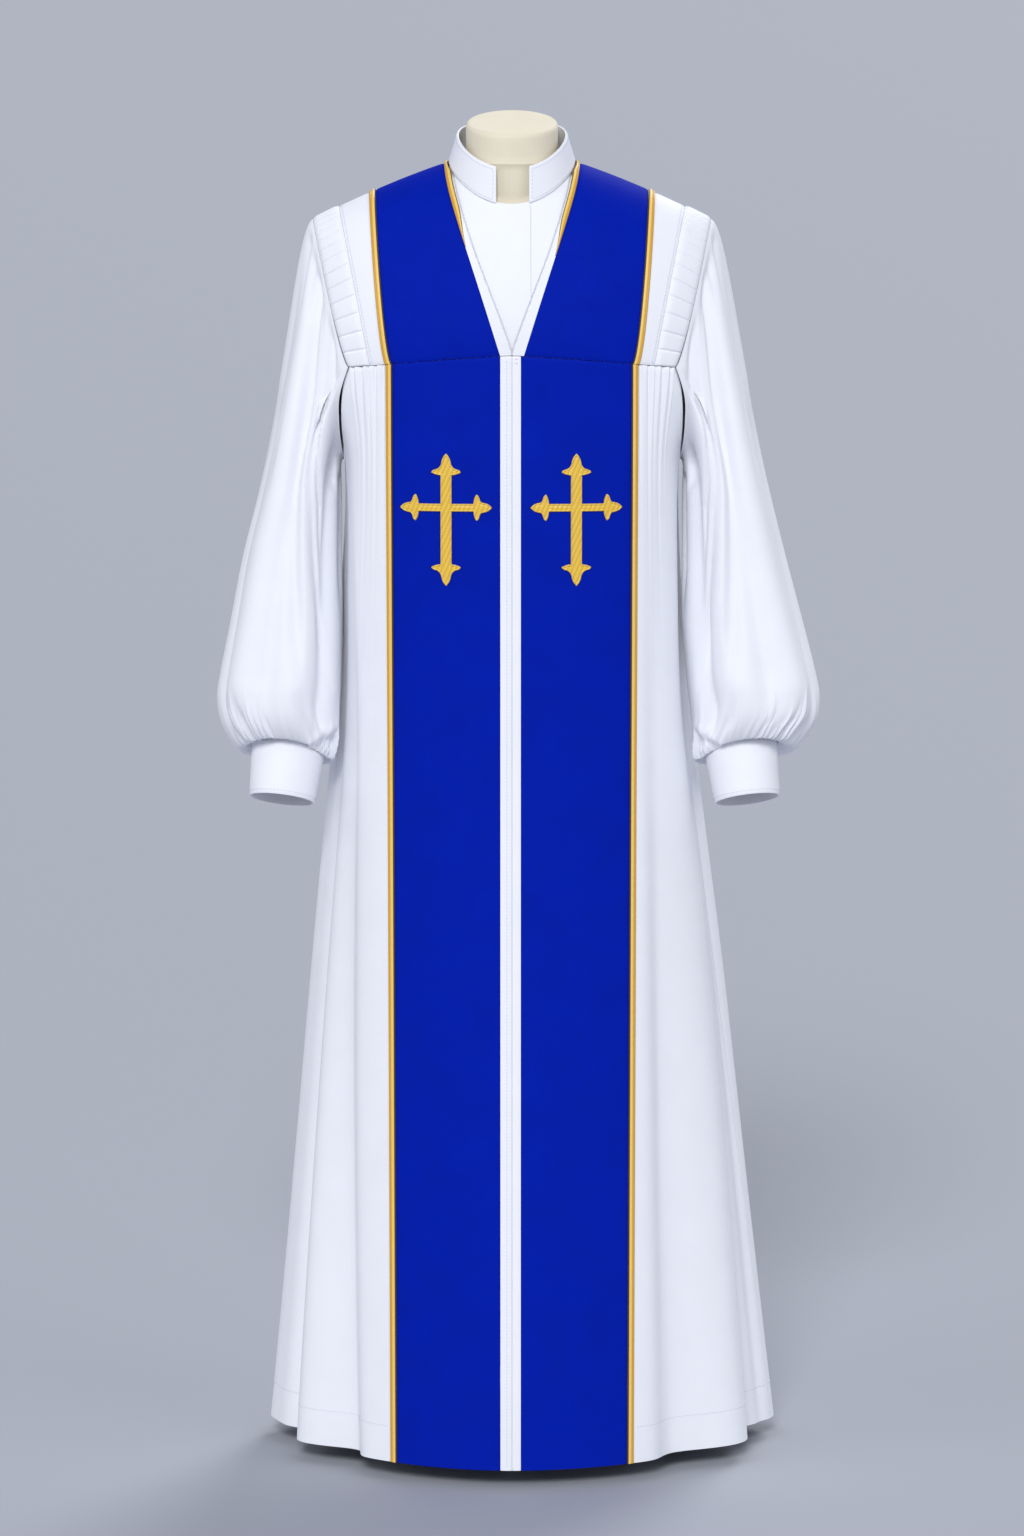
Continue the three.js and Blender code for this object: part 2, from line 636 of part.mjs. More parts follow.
function sleeveSection(at, side) {
  const { y, z, halfDepth, pitch } = readTable(sleeveRows, "at", at);
  const edges = readTable(sleeveEdges, "at", at);
  const outer = side < 0 ? edges.outerRight : edges.outerLeft;
  const inner = side < 0 ? edges.innerRight : edges.innerLeft;
  return { x: (outer + inner) / 2, y, z, halfWidth: (outer - inner) / 2, halfDepth, pitch, roll: 0 };
}

// Point on a tilted ring: turn 0 outside, 0.25 front; the outside is +X until it is mirrored
function ringPoint(ring, place, out = 0) {
  const turn = place * 2 * Math.PI;
  const pitch = degToRad(ring.pitch);
  const forward = (ring.halfDepth + out) * Math.sin(turn);
  const outward = (ring.halfWidth + out) * Math.cos(turn);
  const rise = forward * Math.sin(pitch) + outward * Math.sin(degToRad(ring.roll));
  return vector(ring.x + outward, ring.y - forward * Math.cos(pitch), ring.z + rise);
}

function sleeveFoldOffset(place, down) {
  let offset = 0;
  for (const fold of sleeveFolds) {
    const away = (place - fold.place) / fold.width;
    offset += fold.depth * Math.exp(-away * away);
  }
  return offset * ease(0, 0.3, down) * ease(1, 0.8, down);
}

// Sleeve: u round it, v from the armhole (0) past the underarm level (1) to the cuff (2)
function sleeveSurface(side) {
  const columns = sleeveGather.count * 2;
  return (u, v) => {
    const place = ((u % 1) + 1) % 1;
    const down = v / 2;
    const fold = sleeveFoldOffset(place, down);
    const at = Math.max(v - 1, 0);
    const section = sleeveSection(at, side);
    section.roll = cuff.roll * ease(0.3, 1, at);
    const wave = 0.5 - 0.5 * Math.cos(u * columns * Math.PI);
    const gathers = sleeveGather.depth * ease(sleeveGather.from, 1, down) * wave;
    let point = ringPoint(section, place, fold + gathers);
    if (v < 1) {
      const near = Math.min(place, 1 - place);
      const out = armholeOut(place);
      const clear = lerp(seamGap + 0.1, 1.2, ease(0.16, 0.25, near));
      const start = armholePoint(place).addScaledVector(out, clear);
      const end = point;
      const leave = start.clone().addScaledVector(out, lerp(sleeveHead.out, 5, ease(0.1, 0.5, near)));
      const rise = sleeveHead.down * (end.z < start.z ? (start.z - end.z) / 299 : 0);
      const next = ringPoint(sleeveSection(0.2, side), place, fold);
      const slope = next.sub(end).normalize();
      const arrive = end.clone().addScaledVector(slope, -rise);
      const curve = new THREE.CubicBezierCurve3(start, leave, arrive, end);
      point = curve.getPoint(v);
    }
    point.x *= side;
    return point;
  };
}

function buildSleeve(side, name) {
  const columns = sleeveGather.count * 2;
  const across = Array.from({ length: columns }, (_, i) => i / columns);
  const head = stations(5).slice(0, -1);
  const arm = [0, 0.2, 0.42, 0.6, 0.7, 0.79, 0.87, 0.94, 1].map((at) => 1 + at);
  const down = [...head, ...arm];
  const geometry = wall({ surface: sleeveSurface(side), across, down, sense: side, ring: true });
  addPiece(`sleeve_${name}`, white, geometry);
}

function buildCuff(side, name) {
  const end = sleeveSection(1, side);
  const pitch = degToRad(cuff.pitch);
  const roll = degToRad(cuff.roll);
  const axis = vector(Math.sin(roll), -Math.sin(pitch) * Math.cos(roll), -Math.cos(pitch) * Math.cos(roll));
  const surface = (u, v) => {
    const radius = end.halfWidth - seamGap * 2 - cuff.taper * v;
    const centre = { x: end.x, y: cuff.centreY, z: cuff.centreZ + 1.6 };
    const ring = { ...centre, halfWidth: radius, halfDepth: radius, pitch: cuff.pitch, roll: cuff.roll };
    const point = ringPoint(ring, u).addScaledVector(axis, cuff.length * v);
    point.x *= side;
    return point;
  };
  const columns = sleeveGather.count * 2;
  const across = Array.from({ length: columns }, (_, i) => i / columns);
  const inner = () => -stiffThick;
  addPiece(`cuff_${name}`, white, wall({ surface, across, down: [0, 1], sense: side, inner, ring: true }));
}

// ---- Crosses

// Outline of the cross: four arms that end in a pointed bud with two side leaves
function crossShape() {
  const up = cross.upright / 2;
  const bar = cross.crossbar / 2;
  const arms = [
    { turn: 0, half: bar, reach: cross.width / 2, leaf: bud.sideLeaf, back: bud.sideLength },
    { turn: 1, half: up, reach: cross.barDown, leaf: bud.endLeaf, back: bud.endLength },
    { turn: 2, half: bar, reach: cross.width / 2, leaf: bud.sideLeaf, back: bud.sideLength },
    { turn: 3, half: up, reach: cross.height - cross.barDown, leaf: bud.endLeaf, back: bud.endLength },
  ];
  const shape = new THREE.Shape();
  arms.forEach((arm, index) => {
    const near = index % 2 ? bar : up;
    const neck = arm.reach - arm.back;
    const centre = new THREE.Vector2(0, 0);
    const quarter = (arm.turn * Math.PI) / 2;
    const at = (along, across) => new THREE.Vector2(along, across).rotateAround(centre, quarter);
    const line = (along, across) => shape.lineTo(...at(along, across).toArray());
    const bend = (a, b, c, d) => shape.quadraticCurveTo(...at(a, b).toArray(), ...at(c, d).toArray());
    const start = at(near, -arm.half);
    if (index === 0) shape.moveTo(start.x, start.y);
    else shape.lineTo(start.x, start.y);
    line(neck - 4.5, -arm.half);
    bend(neck - 4, -arm.leaf * 0.75, neck - 1.5, -arm.leaf);
    bend(neck + 1.2, -arm.leaf * 0.98, neck + 2, -arm.leaf * 0.7);
    bend(neck + 3, -arm.half - 1, neck + arm.back * 0.42, -bud.tipHalf);
    bend(neck + arm.back * 0.78, -4.6, arm.reach, 0);
    bend(neck + arm.back * 0.78, 4.6, neck + arm.back * 0.42, bud.tipHalf);
    bend(neck + 3, arm.half + 1, neck + 2, arm.leaf * 0.7);
    bend(neck + 1.2, arm.leaf * 0.98, neck - 1.5, arm.leaf);
    bend(neck - 4, arm.leaf * 0.75, neck - 4.5, arm.half);
    line(near, arm.half);
  });
  shape.closePath();
  return shape;
}

function solidFrom(wasm, geometry) {
  const bare = geometry.clone();
  bare.deleteAttribute("normal");
  bare.deleteAttribute("uv");
  const merged = mergeVertices(bare, 1e-4);
  return new wasm.Manifold(new wasm.Mesh({
    numProp: 3,
    vertProperties: new Float32Array(merged.attributes.position.array),
    triVerts: new Uint32Array(merged.index.array),
  }));
}

// The cross is cut out of a patch that follows the blue panel, so it lies flat on the cloth
function buildCross(wasm, side, name) {
  const half = seamGap / 2;
  const bandX = side < 0 ? centreBand.right : centreBand.left;
  const panel = frontSurface((z) => side * (bandX + half), (z) => side * (pipingX(z) - piping.width / 2));
  const inner = () => seamGap;
  const outer = () => seamGap + cross.thick;
  const down = skirtStations.slice(0, 5);
  const sheet = wall({ surface: panel, across: stations(5), down, sense: -side, outer, inner });
  const patch = solidFrom(wasm, sheet);
  const depth = 200;
  const prism = new THREE.ExtrudeGeometry(crossShape(), { depth, bevelEnabled: false, curveSegments: 3 });
  prism.rotateX(Math.PI / 2);
  const middle = side < 0 ? crossPlace.right : crossPlace.left;
  prism.translate(middle, -30, crossPlace.top - cross.barDown);
  const cut = patch.intersect(solidFrom(wasm, prism)).getMesh();
  const geometry = new THREE.BufferGeometry();
  geometry.setAttribute("position", new THREE.Float32BufferAttribute(cut.vertProperties, 3));
  geometry.setIndex(Array.from(cut.triVerts));
  geometry.computeVertexNormals();
  addPiece(`cross_${name}`, gold, geometry);
}

// ---- Dress form and stand

// Radius of the robe's unfolded surface at a height above the yoke seam, looking along an angle
function robeRadius(angle, z, drop) {
  const sine = Math.sin(degToRad(angle));
  const cosine = -Math.cos(degToRad(angle));
  let low = 0;
  let high = 205;
  for (let i = 0; i < 30; i += 1) {
    const middle = (low + high) / 2;
    const x = middle * sine;
    const y = middle * cosine;
    const facing = y < 0 ? 1 : -1;
    const inside = Math.abs(y) < bodyDepth(x, seamHeight(x), facing) && archHeight(x, y) - drop(x, y) > z;
    if (inside) low = middle;
    else high = middle;
  }
  return low;
}

function sectionRadius(angle, width, front, back, power) {
  const wide = Math.abs(Math.sin(degToRad(angle))) / width;
  const cosine = Math.cos(degToRad(angle));
  return (wide ** power + (Math.abs(cosine) / (cosine > 0 ? front : back)) ** power) ** (-1 / power);
}

function torsoRadius(angle, z) {
  if (z <= formRows.at(-1).z) {
    const row = readTable(formRows, "z", z);
    return sectionRadius(angle, row.width, row.front, row.back, form.power);
  }
  const drop = (x, y) => {
    const over = formBelow.drop + formBelow.slopeDrop * ease(4, 45, Math.abs(y));
    return lerp(over, formBelow.bibDrop, ease(86, 68, Math.abs(x)) * ease(20, 0, y));
  };
  const limit = sectionRadius(angle, form.shoulderWidth, 114, 106, 3);
  const fromFront = Math.min(angle, 360 - angle);
  const inset = formBelow.inset * ease(1356, 1186, z) + formBelow.bibInset * ease(75, 45, fromFront);
  return Math.min(robeRadius(angle, z, drop) - inset, limit);
}

function neckRadius(angle, radius) {
  const shift = -form.neckY * Math.cos(degToRad(angle));
  const across = form.neckY * Math.sin(degToRad(angle));
  return shift + Math.sqrt(Math.max(radius * radius - across * across, 0));
}

// A closed body from a stack of rings, each a function of the angle that returns a point
function stack(rings, columns) {
  const angles = Array.from({ length: columns }, (_, i) => (i * 360) / columns);
  const points = rings.flatMap((ring) => angles.map((angle) => ring(angle)));
  const faces = [];
  for (let j = 0; j < rings.length - 1; j += 1) {
    for (let i = 0; i < columns; i += 1) {
      const a = j * columns + i;
      const b = j * columns + ((i + 1) % columns);
      faces.push(a, b, b + columns, a, b + columns, a + columns);
    }
  }
  for (const [start, turned] of [[0, true], [(rings.length - 1) * columns, false]]) {
    const centre = vector(0, 0, 0);
    for (let i = 0; i < columns; i += 1) centre.addScaledVector(points[start + i], 1 / columns);
    points.push(centre);
    const hub = points.length - 1;
    for (let i = 0; i < columns; i += 1) {
      const a = start + i;
      const b = start + ((i + 1) % columns);
      faces.push(...(turned ? [b, a, hub] : [a, b, hub]));
    }
  }
  return geometryFrom(points, faces);
}

function buildForm() {
  const ringAt = (z, radiusAt) => (angle) => {
    const radius = radiusAt(angle);
    return vector(radius * Math.sin(degToRad(angle)), -radius * Math.cos(degToRad(angle)), z);
  };
  const lower = [631, 691, 771, 871, 981, 1091, 1171, 1221, 1271];
  const upper = [1306, 1331, 1347, 1359, 1368, 1376, 1382, 1387];
  const rings = [...lower, ...upper].map((z) =>
    ringAt(z, (angle) => Math.max(torsoRadius(angle, z), neckRadius(angle, form.neckRadius))),
  );
  const tilt = Math.tan(degToRad(neckCap.tilt));
  const neckRing = (z, tilted, radius) => (angle) => {
    const reach = neckRadius(angle, radius);
    const y = -reach * Math.cos(degToRad(angle));
    return vector(reach * Math.sin(degToRad(angle)), y, z + (y - form.neckY) * tilt * tilted);
  };
  rings.push(neckRing(1391.5, 0, form.neckRadius + 2));
  rings.push(neckRing(1405, 0.3, form.neckRadius));
  rings.push(neckRing(neckCap.height - neckCap.edge, 1, form.neckRadius - 0.5));
  rings.push(neckRing(neckCap.height - neckCap.edge * 0.3, 1, form.neckRadius - 0.5 - neckCap.edge * 0.3));
  rings.push(neckRing(neckCap.height, 1, form.neckRadius - 0.5 - neckCap.edge));
  addPiece("dress_form", cream, stack(rings, 24));
}

// A turned body: the profile lists radius and height from the bottom up
function turned(profile, columns) {
  const rings = profile.map(([radius, z]) => (angle) => {
    const turn = degToRad(angle);
    return vector(radius * Math.sin(turn), -radius * Math.cos(turn), z);
  });
  return stack(rings, columns);
}

function buildStand() {
  const { baseRadius, baseThick, hubRadius, hubTop, poleRadius, flange } = stand;
  const round = 3;
  const baseProfile = [
    [baseRadius - round, 0],
    [baseRadius, round],
    [baseRadius, baseThick - round],
    [baseRadius - round, baseThick],
    [hubRadius, baseThick],
    [hubRadius - round, hubTop],
  ];
  addPiece("stand_base", steel, turned(baseProfile, 32));
  const low = hubTop + seamGap;
  const high = formRows[0].z - seamGap;
  const poleProfile = [
    [24, low],
    [24, low + 5],
    [poleRadius, low + 9],
    [poleRadius, high - 12],
    [flange, high - 5],
    [flange, high],
  ];
  addPiece("stand_pole", steel, turned(poleProfile, 16));
}

const wasm = await Module();
wasm.setup();

for (const [side, name] of sides) {
  buildYoke(side, name);
  buildNeckEdge(side, name);
  buildFront(side, name);
  buildSideFront(side, name);
  buildSleeve(side, name);
  buildCuff(side, name);
  buildCross(wasm, side, name);
}
buildYokeBack();
buildBib();
buildCollar();
buildBack();
buildForm();
buildStand();

export default robe;
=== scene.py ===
import math
import bpy
import numpy as np
from mathutils.geometry import delaunay_2d_cdt
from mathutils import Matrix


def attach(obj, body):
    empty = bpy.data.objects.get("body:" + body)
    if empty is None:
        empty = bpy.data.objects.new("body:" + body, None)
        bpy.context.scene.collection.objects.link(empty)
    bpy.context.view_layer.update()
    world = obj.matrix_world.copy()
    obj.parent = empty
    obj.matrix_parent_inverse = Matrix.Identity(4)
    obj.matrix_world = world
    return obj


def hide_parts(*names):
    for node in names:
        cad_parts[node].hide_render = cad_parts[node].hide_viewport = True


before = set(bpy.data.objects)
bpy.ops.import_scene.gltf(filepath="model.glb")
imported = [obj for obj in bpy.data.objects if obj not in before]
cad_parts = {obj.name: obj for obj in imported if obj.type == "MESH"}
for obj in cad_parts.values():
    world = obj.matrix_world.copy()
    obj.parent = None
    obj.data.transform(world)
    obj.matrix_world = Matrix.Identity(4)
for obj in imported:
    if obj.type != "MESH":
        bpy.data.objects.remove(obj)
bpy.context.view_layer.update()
print("frame loaded,", len(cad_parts), "nodes")

# All sizes below are millimetres. The robe faces -Y and the wearer's left is +X.
cloth = {"thick": 1.3, "stiff": 2.3, "seam": 0.3, "hem": 20.0}


def ease(low, high, value):
    t = np.clip((value - low) / (high - low), 0, 1)  # 0 below low, 1 above high, smooth between
    return t * t * (3 - 2 * t)


def mix(start, end, share):
    return start + (end - start) * share


def bell(away):
    return np.exp(-(away**2))  # 1 in the middle, 0.37 one width away


def bisect(low, high, inside):
    # halves the span thirty times towards the place where inside stops being true
    for _ in range(30):
        middle = (low + high) / 2
        kept = inside(middle)
        low, high = np.where(kept, middle, low), np.where(kept, high, middle)
    return low


def sinDeg(angle):
    return np.sin(np.radians(angle))


def cosDeg(angle):
    return np.cos(np.radians(angle))


def readRows(rows, key, place):
    # smooth curve through every row of a table, its slope at a row taken from the rows beside it
    keys = np.array(rows[key], float)
    sign = np.sign(keys[-1] - keys[0])
    low = np.clip(np.searchsorted(sign * keys, sign * place, side="right") - 1, 0, len(keys) - 2)
    before, after = np.maximum(low - 1, 0), np.minimum(low + 2, len(keys) - 1)
    span = keys[low + 1] - keys[low]
    t = (place - keys[low]) / span
    read = {}
    for name, column in rows.items():
        values = np.array(column, float)
        slopeIn = (values[low + 1] - values[before]) / (keys[low + 1] - keys[before]) * span
        slopeOut = (values[after] - values[low]) / (keys[after] - keys[low]) * span
        rise = values[low + 1] - values[low]
        bend = t * t * (3 * rise - 2 * slopeIn - slopeOut) + t**3 * (slopeIn + slopeOut - 2 * rise)
        read[name] = values[low] + slopeIn * t + bend
    return read


def stack3(x, y, z):
    return np.stack(np.broadcast_arrays(x, y, z), -1).astype(float)


def unit(vectors):
    return vectors / np.maximum(np.linalg.norm(vectors, axis=-1, keepdims=True), 1e-9)


def gridNormals(points, sense, ring=False):
    # normal of a grid surface: across x down, turned outwards by sense
    if ring:
        wrapped = np.concatenate([points[:, -1:], points, points[:, :1]], 1)
        across = (wrapped[:, 2:] - wrapped[:, :-2]) / 2
    else:
        across = np.gradient(points, axis=1)
    down = np.gradient(points, axis=0)
    return unit(np.cross(across, down)) * sense


def meshFrom(name, verts, quads, uvs=None, sharp=40):
    # puts whole arrays of corners (mm) and four-sided faces into a mesh, in metres
    mesh = bpy.data.meshes.new(name)
    mesh.vertices.add(len(verts))
    mesh.vertices.foreach_set("co", (np.asarray(verts, float) / 1000).ravel())
    sides = quads.shape[1]
    mesh.loops.add(quads.size)
    mesh.loops.foreach_set("vertex_index", quads.ravel().astype(np.int32))
    mesh.polygons.add(len(quads))
    mesh.polygons.foreach_set("loop_start", np.arange(0, quads.size, sides, dtype=np.int32))
    mesh.update(calc_edges=True)
    mesh.validate()
    if uvs is not None:
        layer = mesh.uv_layers.new(name="clothUv")
        layer.data.foreach_set("uv", uvs[quads.ravel()].ravel())
    mesh.polygons.foreach_set("use_smooth", np.ones(len(mesh.polygons), bool))
    mesh.set_sharp_from_angle(angle=math.radians(sharp))
    piece = bpy.data.objects.new(name, mesh)
    bpy.context.scene.collection.objects.link(piece)
    return piece


def arcUv(points):
    # distance along the middle row and the middle column, in metres
    rows, columns = points.shape[:2]
    along = np.linalg.norm(np.diff(points[rows // 2], axis=0), axis=-1)
    down = np.linalg.norm(np.diff(points[:, columns // 2], axis=0), axis=-1)
    u = np.concatenate([[0], np.cumsum(along)]) / 1000
    v = np.concatenate([[0], np.cumsum(down)]) / 1000
    return np.stack(np.broadcast_arrays(u[None, :], v[:, None]), -1)


def edgeSink(points, edges, depth=0.75, reach=1.7):
    # cloth dips into its seams: -depth * exp(-(distance from the edge / reach) ^ 2)
    across = np.linalg.norm(np.diff(points, axis=1), axis=-1)
    down = np.linalg.norm(np.diff(points, axis=0), axis=-1)
    across = np.concatenate([np.zeros((len(points), 1)), np.cumsum(across, 1)], 1)
    down = np.concatenate([np.zeros((1, points.shape[1])), np.cumsum(down, 0)], 0)
    away = {"first": across, "last": across[:, -1:] - across, "top": down, "low": down[-1:] - down}
    return -depth * sum(bell(away[edge] / reach) for edge in edges)


def edged(count, first=True, last=True, step=0.004):
    # shares from 0 to 1 with three close rows beside each seamed end
    near = step * np.array([0, 0.22, 0.5, 0.8])
    low, high = (near, step) if first else (np.array([]), 0)
    middle = np.linspace(high, 1 - step if last else 1, count)
    return np.concatenate([low, middle, 1 - near[::-1]] if last else [low, middle])


def clothShell(name, points, sense, thick=None, lift=0.0, ring=False, acrossUv=None):
    # closed shell: outer grid = surface + lift, inner grid = surface - thickness, joined round the rim
    thick = cloth["thick"] if thick is None else thick
    rows, columns = points.shape[:2]
    normals = gridNormals(points, sense, ring)
    lift = np.broadcast_to(np.asarray(lift, float), (rows, columns))[..., None]
    outer = points + normals * lift
    inner = points - normals * thick
    verts = np.concatenate([outer.reshape(-1, 3), inner.reshape(-1, 3)])
    uv = arcUv(points)
    if acrossUv:
        uv[..., 0] = np.linspace(0, acrossUv, columns)
    uv = uv.reshape(-1, 2)
    index = np.arange(rows * columns).reshape(rows, columns)
    if ring:
        index = np.concatenate([index, index[:, :1]], 1)
    layer = rows * columns
    a, b, c, d = index[:-1, :-1], index[:-1, 1:], index[1:, 1:], index[1:, :-1]
    front = np.stack([a, b, c, d], -1).reshape(-1, 4)
    back = np.stack([a, d, c, b], -1).reshape(-1, 4) + layer
    top = np.stack([index[0, :-1] + layer, index[0, 1:] + layer, index[0, 1:], index[0, :-1]], -1)
    low = np.stack([index[-1, :-1], index[-1, 1:], index[-1, 1:] + layer, index[-1, :-1] + layer], -1)
    rims = [top, low]
    if not ring:
        first, last = index[:, 0], index[:, -1]
        rims.append(np.stack([first[:-1], first[1:], first[1:] + layer, first[:-1] + layer], -1))
        rims.append(np.stack([last[1:], last[:-1], last[:-1] + layer, last[1:] + layer], -1))
    quads = np.concatenate([front, back, *rims])
    if sense < 0:
        quads = quads[:, ::-1]
    return meshFrom(name, verts, quads, np.concatenate([uv, uv]))


def grid(columns, rows):
    # parameters u across and v down, each from 0 to 1
    return np.meshgrid(np.linspace(0, 1, columns), np.linspace(0, 1, rows))


# Body below the yoke seam
bodyRows = {
    "z": [1193, 1161, 1121, 1076, 921, 821, 728, 521, 280, 20],
    "right": [234, 217, 192, 179, 178.5, 180.5, 187, 206, 228, 252],
    "left": [234, 217, 192, 179, 178.5, 182.5, 193, 219, 246, 275],
    "front": [121, 123, 125.5, 128.5, 138, 145, 152, 172, 195, 219],
    "back": [116, 119, 123, 127, 138, 146, 154, 172, 193, 216],
    "power": [2.12, 2.3, 2.7, 3.0, 2.8, 2.6, 2.45, 2.2, 2.0, 1.85],
}
yokeSeam = {"height": 1193.5, "drop": 12, "reach": 150, "power": 1.3}
pipingLine = {"width": 7, "yokeSpread": 19, "seamX": 129.5, "hemX": 126}
foldRows = {  # each fold's angle from the front at its top and at the hem, with its outer and inner width
    "side": [-1] * 10 + [1] * 10,
    "top": [75, 84, 86, 97, 109, 121, 133, 146, 159, 171, 55, 76, 85, 97, 110, 123, 136, 149, 162, 176],
    "hem": [51, 69, 77, 95, 108, 121, 134, 147, 160, 172, 50, 68, 80, 95, 110, 124, 138, 151, 164, 177],
    "outer": [9, 7, 4.5, 7, 6, 7, 6.5, 7, 6, 6.5, 9, 8, 5, 7, 6, 7, 6.5, 7, 5.5, 6.5],
    "inner": [4, 8, 6, 7, 6, 7, 6.5, 7, 6, 6.5, 7, 8, 6, 7, 6, 7, 6.5, 7, 5.5, 6.5],
    "depth": [-18, 11, -22, 15, -16, 12, -18, 11, -15, 10, -15, 11, -20, 15, -15, 11, -17, 12, -14, 8],
}
softRows = {  # shallow creases of the skirt that only bend the cloth a little
    "side": [-1, 1, 1, -1, 1, -1, 1],
    "top": [103, 92, 104, 127, 129, 152, 155],
    "hem": [101, 87, 102, 127, 131, 153, 157],
    "outer": [2.2, 1.8, 2.4, 2.2, 2.2, 2.4, 2.2],
    "inner": [2.2, 1.8, 2.4, 2.2, 2.2, 2.4, 2.2],
    "depth": [-3.5, -4, -3.5, 4, 4, -4, -4],
}
flareRows = {  # the back panel standing out past the side seam halfway down
    "side": [-1, 1],
    "top": [102, 102],
    "hem": [101, 101],
    "outer": [9, 9],
    "inner": [9, 9],
    "depth": [10, 7],
}
foldTop = 1121
armholeFloor = 1076


def seamHeight(x):
    # the yoke seam falls from the middle towards the armholes
    return yokeSeam["height"] - yokeSeam["drop"] * (np.abs(x) / yokeSeam["reach"]) ** yokeSeam["power"]


def bodyDepth(x, z, facing):
    # y of the rounded section at x: depth * (1 - |x / width| ^ power) ^ (1 / power)
    row = readRows(bodyRows, "z", z)
    half = np.where(x < 0, row["right"], row["left"])
    depth = np.where(facing > 0, row["front"], row["back"])
    return depth * np.maximum(1 - (np.abs(x) / half) ** row["power"], 0) ** (1 / row["power"])


def bodyRadius(angle, z):
    # the same section as a radius at an angle in degrees from the front, left positive
    row = readRows(bodyRows, "z", z)
    cosine = cosDeg(angle)
    wide = np.abs(sinDeg(angle)) / np.where(angle < 0, row["right"], row["left"])
    deep = np.abs(cosine) / np.where(cosine > 0, row["front"], row["back"])
    return (wide ** row["power"] + deep ** row["power"]) ** (-1 / row["power"])


def frontPoint(x, z):
    return stack3(x, -bodyDepth(x, z, 1), z)


def pipingX(z):
    share = (z - cloth["hem"]) / (yokeSeam["height"] - cloth["hem"])
    return mix(pipingLine["hemX"], pipingLine["seamX"], share)


def sideFrontAngle(side, z):
    x = pipingX(z) + pipingLine["width"] / 2 + cloth["seam"]
    return np.degrees(np.arctan2(x, bodyDepth(side * x, z, 1)))


def foldOffset(angle, z):
    # sum of rounded ridges and valleys: depth * exp(-(angle off its line / width) ^ 2), deeper downwards
    side = np.where(angle < 0, -1, 1)
    down = np.clip((foldTop - z) / (foldTop - cloth["hem"]), 0, 1.1)
    offset = 0
    flare = ease(0.02, 0.3, down) * ease(1.1, 0.35, down)
    for rows, grows in ((foldRows, down), (softRows, ease(0.02, 0.6, down)), (flareRows, flare)):
        for i in range(len(rows["side"])):
            place = rows["side"][i] * mix(rows["top"][i], rows["hem"][i], down)
            away = ((angle - place + 540) % 360 - 180) * rows["side"][i]
            away = away / np.where(away > 0, rows["outer"][i], rows["inner"][i])
            offset = offset + rows["depth"][i] * grows * bell(away)
    still = sideFrontAngle(side, z)
    return offset * ease(still + 1, still + 11, side * angle)


def bodyPoint(angle, z, out=0.0):
    radius = bodyRadius(angle, z) + foldOffset(angle, z) + out
    return stack3(radius * sinDeg(angle), -radius * cosDeg(angle), z)


# Yoke: an arch over the shoulder, t from -1 at the back seam through 0 on the ridge to 1 in front
ridge = {"neckSpread": 82.4, "neckRound": 40, "height": 1391, "slope": 0.38, "curve": 0.0005}
archPower = {"front": 1.8, "back": 2.2}
archEnd = 0.997
shoulderSeam = -0.07
neckBase = {"halfWidth": 67.5, "halfDepth": 67, "centreY": -8}
fluting = {"count": 28, "height": 1.8, "innerX": 150, "innerRise": 34, "outerX": 172, "outerRise": 40,
           "groove": 0.055, "crown": 0.16, "slant": 0.03}
vEdge = {"seamX": 12.4, "rise": 66, "round": 6, "goldEnd": 0.6, "footWidth": 12.2, "shoulderWidth": 6.4}


def ridgeHeight(x):
    away = np.hypot(x, ridge["neckRound"]) - ridge["neckSpread"]
    return ridge["height"] - ridge["slope"] * away - ridge["curve"] * away * away


def archShare(t):
    power = np.where(t > 0, archPower["front"], archPower["back"])
    return np.maximum(np.cos(np.abs(t) * np.pi / 2), 0) ** (2 / power)


def archPoint(x, t):
    # depth rises as sin, height as cos, both bent by the power of that side
    facing = np.where(t > 0, 1, -1)
    power = np.where(t > 0, archPower["front"], archPower["back"])
    seam = seamHeight(x)
    out = np.sin(np.abs(t) * np.pi / 2) ** (2 / power)
    return stack3(x, -facing * out * bodyDepth(x, seam, facing), mix(seam, ridgeHeight(x), archShare(t)))


def archAt(x, y):
    facing = np.where(y < 0, 1, -1)
    power = np.where(y < 0, archPower["front"], archPower["back"])
    share = np.clip(np.abs(y) / bodyDepth(x, seamHeight(x), facing), 0, 1)
    return facing * np.arcsin(share ** (power / 2)) * 2 / np.pi


def archHeight(x, y):
    return archPoint(x, archAt(x, y))[..., 2]


def yokePipingX(t):
    return pipingLine["seamX"] + pipingLine["yokeSpread"] * archShare(t) ** 0.6


def flutingInnerX(t):
    return fluting["innerX"] + fluting["innerRise"] * archShare(t)


def flutingOuterX(t):
    return fluting["outerX"] + fluting["outerRise"] * archShare(t) ** 0.75


def vEdgeX(t):
    share = archShare(t)
    return vEdge["seamX"] + vEdge["rise"] * share - vEdge["round"] * share**8


def vInnerX(t):
    width = mix(vEdge["footWidth"], vEdge["shoulderWidth"], ease(0, 0.6, archShare(t)))
    y = archPoint(vEdgeX(t), t)[..., 1] - neckBase["centreY"]
    ring = neckBase["halfWidth"] * np.sqrt(np.maximum(1 - (y / neckBase["halfDepth"]) ** 2, 0))
    return np.maximum(vEdgeX(t) - width, ring + 0.8)


